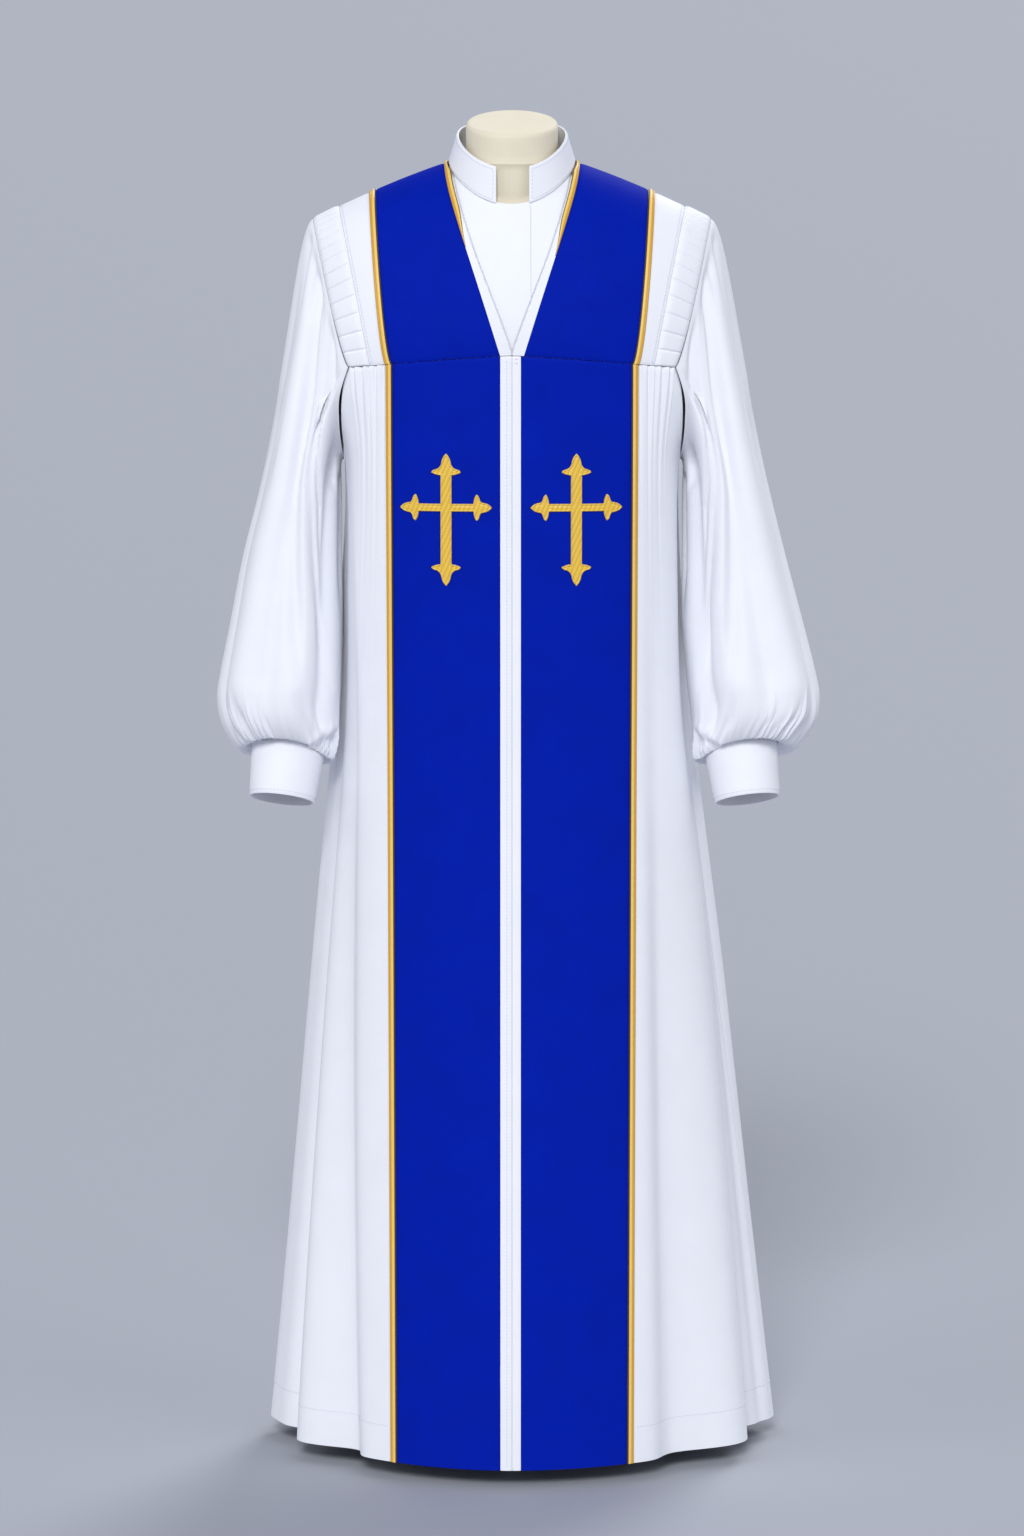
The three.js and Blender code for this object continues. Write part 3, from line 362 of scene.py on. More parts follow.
# Colours and finishes
cordShape = {  # piping: the tape's width is in metres, and each cord has its place and half width across it
    "height": 2.0,
    "columns": 29,
    "tape": 0.0067,
    "wide": (0.35, 0.27),
    "narrow": (0.79, 0.18),
    "narrowHeight": 0.72,
}
finish = {
    "white": (0.875, 0.89, 0.94),
    "blue": (0.0, 0.0125, 0.37),
    "gold": (0.90, 0.61, 0.13),
    "goldDark": (0.66, 0.35, 0.04),
    # painted shadow along both edges of the piping
    "goldEdgeShade": (0.10, 0.05, 0.03),
    "embroidery": (0.86, 0.55, 0.06),
    "cream": (0.80, 0.73, 0.57),
    # thread: real stitches, greyed darker than the cloth as painted shade of the seam lines
    "thread": (0.62, 0.65, 0.76),
    "steel": (0.42, 0.43, 0.45),
}


def newMaterial(name, color, roughness, sheen=0.0, metallic=0.0, specular=0.4):
    material = bpy.data.materials.new(name)
    material.use_nodes = True
    shader = material.node_tree.nodes["Principled BSDF"]
    shader.inputs["Base Color"].default_value = (*color, 1)
    shader.inputs["Roughness"].default_value = roughness
    shader.inputs["Metallic"].default_value = metallic
    shader.inputs["Specular IOR Level"].default_value = specular
    shader.inputs["Sheen Weight"].default_value = sheen
    shader.inputs["Sheen Roughness"].default_value = 0.45
    return material, material.node_tree, shader


def addNode(tree, kind, values=(), links=()):
    # a shader node with its fixed inputs, and links given as input: (node, output)
    node = tree.nodes.new("ShaderNode" + kind)
    for key, value in dict(values).items():
        node.inputs[key].default_value = value
    for key, (source, output) in dict(links).items():
        tree.links.new(source.outputs[output], node.inputs[key])
    return node


def addMap(tree):
    uv = addNode(tree, "UVMap")
    uv.uv_map = "clothUv"
    return uv


def addWave(tree, source, output, direction="X", **values):
    wave = addNode(tree, "TexWave", values, {"Vector": (source, output)})
    wave.bands_direction = direction
    return wave


def addRamp(tree, shader, source, output, stops):
    # colours along a 0 to 1 value, as (place, colour), into the shader's colour
    ramp = addNode(tree, "ValToRGB", {}, {"Fac": (source, output)})
    while len(ramp.color_ramp.elements) < len(stops):
        ramp.color_ramp.elements.new(0.5)
    for element, (place, color) in zip(ramp.color_ramp.elements, stops):
        element.position = place
        element.color = (*color, 1)
    tree.links.new(ramp.outputs["Color"], shader.inputs["Base Color"])
    return ramp


def addBump(tree, shader, source, output, strength, distance):
    bump = addNode(tree, "Bump", {"Strength": strength, "Distance": distance}, {"Height": (source, output)})
    tree.links.new(bump.outputs["Normal"], shader.inputs["Normal"])


def clothMaterial(name, color, roughness, sheen, threadsPerMetre, weave, mottle, specular=0.35):
    # plain weave: two crossed sine waves on the cloth's own map lift the surface, and soft noise on
    # object coordinates lifts it too and shifts the colour a little
    material, tree, shader = newMaterial(name, color, roughness, sheen, 0, specular)
    uv = addMap(tree)
    wave = {"Scale": threadsPerMetre / 20, "Distortion": 0.6, "Detail": 1}
    across, down = addWave(tree, uv, "UV", "X", **wave), addWave(tree, uv, "UV", "Y", **wave)
    woven = addNode(tree, "Math", {}, {0: (across, "Fac"), 1: (down, "Fac")})
    woven.operation = "MAXIMUM"
    place = addNode(tree, "TexCoord")
    noise = addNode(tree, "TexNoise", {"Scale": 26, "Detail": 4}, {"Vector": (place, "Object")})
    height = addNode(tree, "Math", {1: 0.25}, {0: (woven, 0), 2: (noise, "Fac")})
    height.operation = "MULTIPLY_ADD"
    addBump(tree, shader, height, 0, weave, 0.0006)
    dim, lit = [c * (1 - mottle) for c in color], [min(c * (1 + mottle), 1) for c in color]
    addRamp(tree, shader, noise, "Fac", ((0.3, dim), (0.7, lit)))
    return material


def cordMaterial(name, bright, deep, seam, width):
    # across the tape: a dark line at each edge painted as the shadow where the cord meets the cloth, bright
    # cord, deep narrow cord; along it a fine slanted twist
    material, tree, shader = newMaterial(name, bright, 0.4, 0.1, 0.0, 0.45)
    uv = addMap(tree)
    split = addNode(tree, "SeparateXYZ", {}, {"Vector": (uv, "UV")})
    across = addNode(tree, "Math", {1: width}, {0: (split, "X")})
    across.operation = "DIVIDE"
    # the seam colour at both ends of the ramp is painted shadow at the cord's edges
    stops = ((0.0, seam), (0.09, seam), (0.15, bright), (0.55, bright),
             (0.64, deep), (0.95, deep), (1.0, seam))
    addRamp(tree, shader, across, 0, stops).color_ramp.interpolation = "EASE"
    turn = addNode(tree, "Mapping", {"Rotation": (0, 0, math.radians(32))}, {"Vector": (uv, "UV")})
    twist = addWave(tree, turn, "Vector", "Y", Scale=42, Distortion=0.2)
    addBump(tree, shader, twist, "Fac", 0.22, 0.0003)
    return material


def satinMaterial(name, color):
    # satin stitches: fine slanted rows of thread seen as narrow waves on the piece's own map
    material, tree, shader = newMaterial(name, color, 0.38, 0.15, 0.0, 0.5)
    turn = addNode(tree, "Mapping", {"Rotation": (0, 0, math.radians(24))}, {"Vector": (addMap(tree), "UV")})
    rows = addWave(tree, turn, "Vector", Scale=70, Distortion=0.5, Detail=2)
    addBump(tree, shader, rows, "Fac", 0.5, 0.0004)
    # the colour darkens to 0.78 in the low part of each wave: painted shade in the grooves between the
    # thread rows
    addRamp(tree, shader, rows, "Fac", ((0.0, [c * 0.78 for c in color]), (0.5, color)))
    return material


whiteCloth = clothMaterial("whiteCloth", finish["white"], 0.6, 0.12, 1800, 0.2, 0.012, 0.25)
blueCloth = clothMaterial("blueCloth", finish["blue"], 0.72, 0.0, 1800, 0.25, 0.05, 0.05)
formCover = clothMaterial("formCover", finish["cream"], 0.75, 0.2, 1100, 0.4, 0.02, 0.3)
goldCord = cordMaterial(
    "goldCord", finish["gold"], finish["goldDark"], finish["goldEdgeShade"], cordShape["tape"]
)
embroidery = satinMaterial("embroidery", finish["embroidery"])
# grey-blue thread on real stitches: its darkness is painted shade of the seam lines
seamShadeThread = newMaterial("seamShadeThread", finish["thread"], 0.6, 0.1, 0.0, 0.3)[0]
standMetal = newMaterial("standMetal", finish["steel"], 0.38, 0, 0.6, 0.5)[0]
print("materials ready")

finishes = {  # the material of each kind of piece and the slot it fills
    "white": (whiteCloth, "white_cloth"),
    "blue": (blueCloth, "blue_cloth"),
    "gold": (goldCord, "gold_piping"),
    "cross": (embroidery, "gold_embroidery"),
    "thread": (seamShadeThread, "white_cloth"),
    "form": (formCover, "form_cover"),
    "stand": (standMetal, "stand_metal"),
}


def finishPiece(piece, kind, *nodes):
    # gives a piece its material, hangs it on the root body and hides the frame's nodes that it stands for
    material, slot = finishes[kind]
    piece.data.materials.append(material)
    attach(piece, "root")
    if nodes:
        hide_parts(*nodes)


def clothPiece(name, kind, node, points, sense, seams=(), sink=(0.75, 1.7), lift=0.0, **shell):
    # a finished shell whose outside dips along the named seams
    if seams:
        lift = lift + edgeSink(points, seams, *sink)
    finishPiece(clothShell(name, points, sense, lift=lift, **shell), kind, node)


def cordPiece(name, node, points, sense, share=1):
    # piping: the cord's own section across its map, its height times the share
    rows, columns = points.shape[:2]
    lift = cordLift(columns, rows) * share
    clothPiece(name, "gold", node, points, sense, lift=lift, acrossUv=cordShape["tape"])


# Front pieces: flat bands and panels between two lines down the front
frontCut = {"bandRight": 12.4, "bandLeft": 9.4, "rows": 160, "panelColumns": 24}


def frontSheet(startX, endX, columns, rows):
    # x runs between two lines, z from the yoke seam to the hem, y on the body's section
    u, v = np.meshgrid(edged(columns, step=0.03), edged(rows, last=False, step=0.003))
    top = seamHeight(mix(startX(yokeSeam["height"]), endX(yokeSeam["height"]), u))
    z = mix(top, cloth["hem"], v)
    return frontPoint(mix(startX(z), endX(z), u), z)


def cordLift(columns, rows):
    # a wide and a narrow round cord side by side: sqrt(1 - (place off its middle / half width) ^ 2)
    u = np.linspace(0, 1, columns)
    (wideAt, wideHalf), (narrowAt, narrowHalf) = cordShape["wide"], cordShape["narrow"]
    wide = np.sqrt(np.maximum(1 - ((u - wideAt) / wideHalf) ** 2, 0))
    narrow = cordShape["narrowHeight"] * np.sqrt(np.maximum(1 - ((u - narrowAt) / narrowHalf) ** 2, 0))
    return np.broadcast_to(cordShape["height"] * (0.12 + 0.86 * np.maximum(wide, narrow)), (rows, columns))


def buildFront(side, name):
    gap, half, rows, low = cloth["seam"], cloth["seam"] / 2, frontCut["rows"], name.lower()
    bandX = frontCut["bandRight"] if side < 0 else frontCut["bandLeft"]
    edge = lambda z: side * (pipingX(z) - pipingLine["width"] / 2)
    outside = lambda z: side * (pipingX(z) + pipingLine["width"] / 2)
    seams = ["first", "last", "top"]
    sheet = frontSheet(lambda z: side * half + 0 * z, lambda z: side * (bandX - half) + 0 * z, 7, rows)
    clothPiece(f"frontBand{name}", "white", f"front_band_{low}", sheet, -side, seams, (0.6, 1.1))
    sheet = frontSheet(lambda z: side * (bandX + half) + 0 * z, edge, frontCut["panelColumns"], rows)
    clothPiece(f"frontPanel{name}", "blue", f"front_panel_{low}", sheet, -side, seams)
    u, v = grid(cordShape["columns"], rows)
    start, end = edge(yokeSeam["height"]) + side * gap, outside(yokeSeam["height"])
    z = mix(seamHeight(mix(start, end, u)), cloth["hem"], v)
    x = mix(edge(z) + side * gap, outside(z), u)
    cordPiece(f"frontPiping{name}", f"front_piping_{low}", frontPoint(x, z), -side)


# Side fronts and back
sideSeam = {"front": 89.93, "back": 90.05}
sideFrontCut = {"seam": 10, "armhole": 8, "columns": 96, "rows": 165}
backCut = {"seam": 44, "armhole": 8, "columns": 196, "rows": 136}
gather = {"depth": 1.9, "fade": 70}


def cornerAngle(facing):
    x = fluting["outerX"]
    angle = math.degrees(math.atan2(x, float(bodyDepth(x, seamHeight(x), facing))))
    return angle if facing > 0 else 180 - angle


def armholeHeight(share):
    # the armhole's lower edge falls steeply from its corner and flattens under the arm
    return mix(seamHeight(fluting["outerX"]), armholeFloor, 1 - (1 - np.clip(share, 0, 1)) ** 2.2)


def seamHeightAt(angle):
    return seamHeight(bodyRadius(angle, yokeSeam["height"]) * np.sin(np.radians(angle)))


def gatherOffset(column, along, drop):
    # small gathers under the yoke seam that fade out downwards
    ends = ease(0, 0.1, along) * ease(1, 0.94, along)
    fade = gather["fade"] * (1 + 0.55 * np.sin(column * 1.9 + 0.6))
    depth = gather["depth"] * (1.15 + 0.5 * np.sin(column * 2.7))
    wave = np.cos(column * np.pi + 0.8 * np.sin(column * 1.3))
    return depth * ends * np.exp(-np.maximum(drop, 0) / fade) * wave


def sideFrontSheet(side, columns, rows):
    u, v = np.meshgrid(edged(columns, last=False, step=0.01), edged(rows, last=False, step=0.003) ** 1.12)
    count = sideFrontCut["seam"] + sideFrontCut["armhole"]
    cornerU = sideFrontCut["seam"] / count
    corner, start = cornerAngle(1), sideFrontAngle(side, yokeSeam["height"])
    along, share = u / cornerU, (u - cornerU) / (1 - cornerU)
    topAngle = np.where(share < 0, mix(start, corner, along), mix(corner, sideSeam["front"], share))
    top = np.where(share < 0, seamHeightAt(side * topAngle), armholeHeight(share))
    z = mix(top, cloth["hem"], v)
    turned = mix((topAngle - start) / (sideSeam["front"] - start), u, ease(0, 0.5, v))
    angle = mix(sideFrontAngle(side, z), sideSeam["front"], turned)
    return bodyPoint(side * angle, z, gatherOffset(u * count, np.clip(along, 0, 1), top - z))


def backSheet(columns, rows):
    u, v = np.meshgrid(np.linspace(0, 1, columns), edged(rows, last=False, step=0.003) ** 1.12)
    count = backCut["seam"] + 2 * backCut["armhole"]
    cornerU = backCut["armhole"] / count
    near = np.minimum(u, 1 - u)
    share, side = near / cornerU, np.where(u < 0.5, -1, 1)
    inner = (near - cornerU) / (0.5 - cornerU)
    corner = cornerAngle(-1)
    angle = side * np.where(share < 1, mix(sideSeam["back"], corner, share), mix(corner, 180, inner))
    top = np.where(share < 1, armholeHeight(1 - share), seamHeightAt(angle))
    z = mix(top, cloth["hem"], v)
    along = (u - cornerU) / (1 - 2 * cornerU)
    return bodyPoint(angle, z, gatherOffset(u * count, np.clip(along, 0, 1), top - z))


def buildSideFront(side, name):
    sheet = sideFrontSheet(side, sideFrontCut["columns"], sideFrontCut["rows"])
    clothPiece(f"sideFront{name}", "white", f"side_front_{name.lower()}", sheet, -side, ["first", "top"])


def buildBack():
    clothPiece("backPanel", "white", "back", backSheet(backCut["columns"], backCut["rows"]), 1, ["top"])


# Yoke strips between two lines, t down the front from the shoulder seam
def yokeStrip(side, startX, endX, columns, stations):
    u, t = np.meshgrid(np.linspace(0, 1, columns), stations)
    return archPoint(side * mix(startX(t), endX(t), u), t)


def fluteLift(t):
    # each flute is a flat-topped tuck with a narrow groove on either side, lying slightly askew
    place = ((t / archEnd + 1) / 2 * fluting["count"]) % 1
    edge = np.minimum(place, 1 - place)
    rounded = fluting["crown"] * np.sin(place * np.pi)
    return fluting["height"] * (0.84 - 0.84 * bell(edge / fluting["groove"]) + rounded)


def buildYoke(side, name):
    low, gap, half = name.lower(), cloth["seam"] / 2, pipingLine["width"] / 2
    seams = ["first", "last", "top", "low"]
    stations = mix(shoulderSeam, archEnd, edged(72, step=0.008))
    u, t = np.meshgrid(edged(36, step=0.03), stations)
    sheet = archPoint(side * mix(vEdgeX(t) + gap, yokePipingX(t) - half, u), t)
    clothPiece(f"yokePanel{name}", "blue", f"yoke_panel_{low}", sheet, -side, seams)
    strip = yokeStrip(side, lambda t: yokePipingX(t) - half + cloth["seam"], lambda t: yokePipingX(t) + half,
                      cordShape["columns"], stations)
    cordPiece(f"yokePiping{name}", f"yoke_piping_{low}", strip, -side)
    u, t = np.meshgrid(edged(12, step=0.06), stations)
    sheet = archPoint(side * mix(yokePipingX(t) + half + cloth["seam"], flutingInnerX(t) - gap, u), t)
    clothPiece(f"yokeSide{name}", "white", f"yoke_side_{low}", sheet, -side, seams)
    # the lines of one flute, closer in its grooves
    near = np.array([0, 0.03, 0.06, 0.1, 0.16, 0.26, 0.4, 0.6, 0.74, 0.84, 0.9, 0.94, 0.97])
    flutes = np.concatenate([(np.arange(fluting["count"])[:, None] + near).ravel(), [fluting["count"]]])
    flutes = (flutes / fluting["count"] * 2 - 1) * archEnd
    u, line = np.meshgrid(edged(9, step=0.04), flutes)
    t = line - np.sign(line) * fluting["slant"] * (1 - u) * np.sin(np.abs(line) / archEnd * np.pi)
    band = archPoint(side * mix(flutingInnerX(t) + gap, flutingOuterX(t) - gap, u), t)
    lift = fluteLift(flutes)[:, None] * mix(0.25, 1, ease(0, 0.08, u) * ease(1, 0.92, u))
    clothPiece(f"fluting{name}", "white", f"fluting_{low}", band, -side, ["first", "last"], (0.9, 1.3), lift)


def buildNeckEdge(side, name):
    # the gold narrows to nothing at its lower end, and the white band takes its place from the inside
    low, gap = name.lower(), cloth["seam"] / 2
    end = vEdge["goldEnd"] + (0.03 if side > 0 else -0.005)
    outer = lambda t: vEdgeX(t) - gap
    border = lambda t: mix(vInnerX(t), outer(t) - 0.4, ease(end - 0.2, end + 0.02, t) ** 1.3)
    inner = lambda t: np.where(t <= end, border(t) - 0.15, outer(t))
    upper = np.linspace(shoulderSeam, end, 90)
    strip = yokeStrip(side, border, outer, cordShape["columns"], upper)
    share = (1 - 0.75 * ease(end - 0.16, end, upper))[:, None]
    cordPiece(f"neckPiping{name}", f"neck_piping_{low}", strip, -side, share)
    lower = np.concatenate([np.linspace(end - 0.18, end, 40), np.linspace(end + 0.004, archEnd, 50)])
    strip = yokeStrip(side, vInnerX, inner, 13, lower)
    clothPiece(f"neckBand{name}", "white", f"neck_band_{low}", strip, -side)


bib = {"sink": 2.9, "crease": 2.2, "underlap": 4, "topX": 64.5, "placketX": 20}


def neckRingDepth(x, inset):
    share = 1 - (x / (neckBase["halfWidth"] - inset)) ** 2
    return (neckBase["halfDepth"] - inset) * np.sqrt(np.maximum(share, 0))


def buildYokeBack():
    # it lies a little under the neck's ring and ends at the shoulder seams beside it
    under, beside, arms = 1.2, 1.3, fluting["innerX"] + fluting["innerRise"]
    neckEdge = neckBase["halfWidth"] - under
    behind = neckEdge * np.sin(np.linspace(0, 1, 30) * np.pi / 2)
    half = np.concatenate([behind, np.linspace(neckBase["halfWidth"] + beside, arms, 28)]) / arms
    u, v = np.meshgrid(np.concatenate([-half[:0:-1], half]), edged(60, first=False, step=0.006))
    x = u * arms
    seamY = archPoint(x, shoulderSeam + 0 * x)[..., 1]
    neckY = np.where(np.abs(x) < neckEdge, neckBase["centreY"] + neckRingDepth(x, under), seamY)
    t = mix(archAt(x, np.maximum(seamY, neckY)) - 0.004, -archEnd, v)
    sheet = archPoint(u * (flutingInnerX(t) - cloth["seam"] / 2), t)
    clothPiece("yokeBack", "white", "yoke_back", sheet, 1, ["low"])


def bibEnd(x):
    # t at which the V's band, with the underlap, covers this x
    covers = lambda t: vInnerX(t) + bib["underlap"] > np.abs(x)
    return bisect(np.full_like(x, 0.2), np.full_like(x, archEnd), covers)


def buildBib():
    gap, topX, placketX = cloth["seam"] / 2, bib["topX"], bib["placketX"]
    halves = (("Right", -topX, placketX - gap, 64), ("Left", placketX + gap, topX, 34))
    for name, start, end, columns in halves:
        u, v = grid(columns, 84)
        x = mix(start, end, u)
        top = archAt(x, neckBase["centreY"] - neckRingDepth(x, 1.2))
        t = mix(top, bibEnd(x), v)
        surface = archPoint(x, t)
        beside = bell((np.abs(x) - vInnerX(t) + 0.4) / 1.0)  # the crease along the V's band
        sunk = surface - gridNormals(surface, -1) * (bib["sink"] + bib["crease"] * beside)[..., None]
        clothPiece(f"bib{name}", "white", f"bib_{name.lower()}", sunk, -1)


collarTop = {"halfWidth": 58.6, "halfDepth": 57, "centreY": -12, "height": 1415.9,
             "tilt": -22.6, "dip": -5.7}
collarGap = {"right": 17, "left": 18.5}


def collarSheet(u, v):
    # rings from the neck's base to the collar's top edge, open at the front
    halfWidth = mix(neckBase["halfWidth"], collarTop["halfWidth"], v)
    halfDepth = mix(neckBase["halfDepth"], collarTop["halfDepth"], v)
    centreY = mix(neckBase["centreY"], collarTop["centreY"], v)
    start = np.arcsin(collarGap["right"] / halfWidth)
    end = 2 * np.pi - np.arcsin(collarGap["left"] / halfWidth)
    turn = mix(start, end, u)
    top = collarTop["height"] + collarTop["tilt"] * np.cos(turn) + collarTop["dip"] * np.cos(2 * turn)
    baseX = -neckBase["halfWidth"] * np.sin(turn)
    baseY = neckBase["centreY"] - neckBase["halfDepth"] * np.cos(turn)
    sunk = bib["sink"] * ease(-0.1, 0.35, np.cos(turn))
    z = mix(archHeight(baseX, baseY) - sunk + 1.9, top, v)
    return stack3(-halfWidth * np.sin(turn), centreY - halfDepth * np.cos(turn), z)


def buildCollar():
    sheet = collarSheet(*np.meshgrid(edged(150, step=0.008), edged(18, step=0.03)))
    seams = ["first", "last", "top", "low"]
    clothPiece("collarBand", "white", "collar", sheet, -1, seams, (0.5, 0.7), thick=cloth["stiff"])


# Sleeves
sleeveRows = {
    "at": [0, 0.2, 0.42, 0.6, 0.7, 0.79, 0.87, 0.94, 1],
    "outerRight": [275, 290, 303, 314, 316, 311, 300, 289, 279.1],
    "innerRight": [182, 182, 181.5, 183, 184.5, 186, 190, 194, 198.9],
    "outerLeft": [280, 295, 313, 327, 330, 326, 312, 299, 284.6],
    "innerLeft": [182, 182, 182, 187.5, 191, 194, 195, 199, 204.4],
    "y": [-3, -9, -18, -27, -32, -37, -41, -42, -42],
    "half": [80, 79, 78, 76, 74, 69, 60, 49, 40.1],
    "z": [1031, 971, 901, 841, 816, 791, 771, 761, 771],
    "pitch": [0, 3, 7, 12, 14, 16, 18, 18, 18],
}
sleeveFolds = {
    "place": [0.05, 0.14, 0.22, 0.3, 0.385, 0.63, 0.72, 0.81, 0.91],
    "width": [0.035, 0.04, 0.03, 0.04, 0.028, 0.035, 0.045, 0.035, 0.045],
    "depth": [-5, 4, -6, 5, -9, -7, 5, -7, 4],
}
creaseRows = {  # lines down the sleeve: place round it at top, middle and end, where each starts and stops
    "top": [0.13, 0.19, 0.06, 0.27, 0.4, 0.47, 0.1, 0.155, 0.21, 0.73,
            0.56, 0.62, 0.84, 0.9, 0.02, 0.05, 0.13, 0.36, 0.31, 0.2],
    "middle": [0.235, 0.3, 0.1, 0.3, 0.41, 0.475, 0.12, 0.18, 0.235, 0.69,
               0.55, 0.61, 0.81, 0.87, 0.05, 0.08, 0.15, 0.4, 0.345, 0.215],
    "end": [0.31, 0.375, 0.13, 0.44, 0.43, 0.465, 0.145, 0.21, 0.26, 0.6,
            0.54, 0.6, 0.78, 0.84, 0.09, 0.125, 0.175, 0.45, 0.385, 0.235],
    "start": [0.0, 0.0, 0.0, 0.06, 0.16, 0.24, 0.0, 0.01, 0.02, 0.08,
              0.22, 0.4, 0.0, 0.01, 0.35, 0.8, 0.84, 0.82, 0.84, 0.85],
    "stop": [0.84, 0.66, 0.5, 0.86, 0.46, 0.72, 0.2, 0.17, 0.16, 0.84,
             0.7, 0.9, 0.22, 0.18, 0.9, 1.02, 1.03, 0.97, 1.03, 1.03],
    "width": [0.02, 0.014, 0.016, 0.018, 0.016, 0.016, 0.012, 0.01, 0.012, 0.02,
              0.018, 0.02, 0.014, 0.012, 0.03, 0.016, 0.013, 0.02, 0.012, 0.01],
    "depth": [-9, -6, -4, -7, -5, -6, -3, -2.8, -3.2, -7, -5, -5, -3, -3, -6, -6, -4.5, -9, -5, -4],
}
sleeveCut = {"columns": 260, "headRows": 48, "armRows": 82, "gathers": 34, "gatherDepth": 4.4,
             "gatherFrom": 0.86, "frontLift": 8, "bunched": 4, "roll": 7}
bunches = ((0.16, 0.07, 1.5), (0.44, 0.06, 0.7), (0.68, 0.1, 0.8), (0.92, 0.06, 0.5))  # place, spread, depth
pouch = {"from": 0.33, "to": 0.455, "end": 0.5, "rise": 0.21, "depth": 6, "lip": 1.5}
sleeveHead = {"out": 20, "down": 150, "fall": 299}
cuff = {"length": 60, "taper": 4.7, "pitch": 18, "roll": 7, "centreY": -42, "centreZ": 770.5}


def armholePoint(place):
    facing = np.where(place < 0.5, 1, -1)
    near = np.minimum(place, 1 - place)
    t = facing * archEnd * np.clip(near / 0.25, 0, 1)
    upper = archPoint(flutingOuterX(t), t)
    share = (near - 0.25) / 0.25
    angle = mix(np.where(facing > 0, cornerAngle(1), cornerAngle(-1)), 90, share)
    lower = bodyPoint(angle, armholeHeight(share))
    return np.where((near < 0.25)[..., None], upper, lower)


def armholeOut(place):
    # the direction in which the cloth leaves the armhole
    facing = np.where(place < 0.5, 1, -1)
    near = np.minimum(place, 1 - place)
    t = facing * archEnd * np.minimum(near / 0.25, 1)
    x = flutingOuterX(t)
    along = unit(archPoint(x, t) - archPoint(x - 1, t))
    away = unit(armholePoint(place) * (1, 1, 0))
    return unit(mix(along, away, ease(0.24, 0.32, near)[..., None]))


def sleeveSection(at, side):
    row = readRows(sleeveRows, "at", at)
    hand = "Right" if side < 0 else "Left"
    outer, inner = row["outer" + hand], row["inner" + hand]
    return {"x": (outer + inner) / 2, "half": (outer - inner) / 2, "y": row["y"], "deep": row["half"],
            "z": row["z"], "pitch": row["pitch"], "roll": 0}


def ringPoint(ring, place, out=0.0):
    # a point of the round or oval ring, pitched forwards and rolled outwards
    turn, pitch = place * 2 * np.pi, np.radians(ring["pitch"])
    forward = (ring["deep"] + out) * np.sin(turn)
    outward = (ring["half"] + out) * np.cos(turn)
    z = ring["z"] + forward * np.sin(pitch) + outward * sinDeg(ring["roll"])
    return stack3(ring["x"] + outward, ring["y"] - forward * np.cos(pitch), z)


def sleeveFoldOffset(place, down):
    offset = 0
    for line, width, depth in zip(*sleeveFolds.values()):
        offset = offset + depth * bell((place - line) / width)
    offset = offset * ease(0, 0.3, down) * ease(1, 0.8, down)
    for top, middle, end, start, stop, width, depth in zip(*creaseRows.values()):
        s = (down - start) / (stop - start)
        line = top * (1 - s) * (1 - 2 * s) + end * s * (2 * s - 1)
        away = (place - line - middle * 4 * s * (1 - s) + 0.5) % 1 - 0.5
        away = away / np.where(away < 0, width * 1.5, width * 0.6)  # soft on one side, sharp on the other
        shown = ease(start - 0.01, start + 0.09, down) * ease(stop, stop - 0.14, down)
        offset = offset + depth * shown * bell(away)
    return offset


def gatherDepth(turn, place, down, side):
    # gathers by the cuff: |sin(phase / 2)| ^ 0.8, closer where they bunch, starting at uneven heights
    phase = turn * sleeveCut["gathers"] + 1.4 * np.sin(turn * 3 + side) + 1.1 * np.sin(turn * 7)
    phase = phase + 2 * np.pi * sleeveCut["bunched"] * ease(0.08, 0.24, place)
    begin = sleeveCut["gatherFrom"] + 0.05 * np.sin(turn * 11 + 2 * side) + 0.04 * np.sin(turn * 23)
    uneven = 0.4
    for bunch, spread, extra in bunches:
        uneven = uneven + extra * bell((place - bunch) / spread)
    return sleeveCut["gatherDepth"] * uneven * ease(begin, 1, down) * np.abs(np.sin(phase / 2)) ** 0.8


def pouchDepth(place, at):
    # one curved fold that hangs over the gathers in front, with a raised lip above it
    ends = ease(pouch["end"], pouch["to"], place)
    share = np.clip((place - pouch["from"]) / (pouch["to"] - pouch["from"]), 0, 1)
    below = at - (1 - pouch["rise"] * np.sqrt(share) * ends)
    tuck = -pouch["depth"] * ease(-0.005, 0.03, below) + pouch["lip"] * bell((below + 0.02) / 0.02)
    return tuck * ease(0, 0.15, share) * ends * ease(1, 0.95, at)


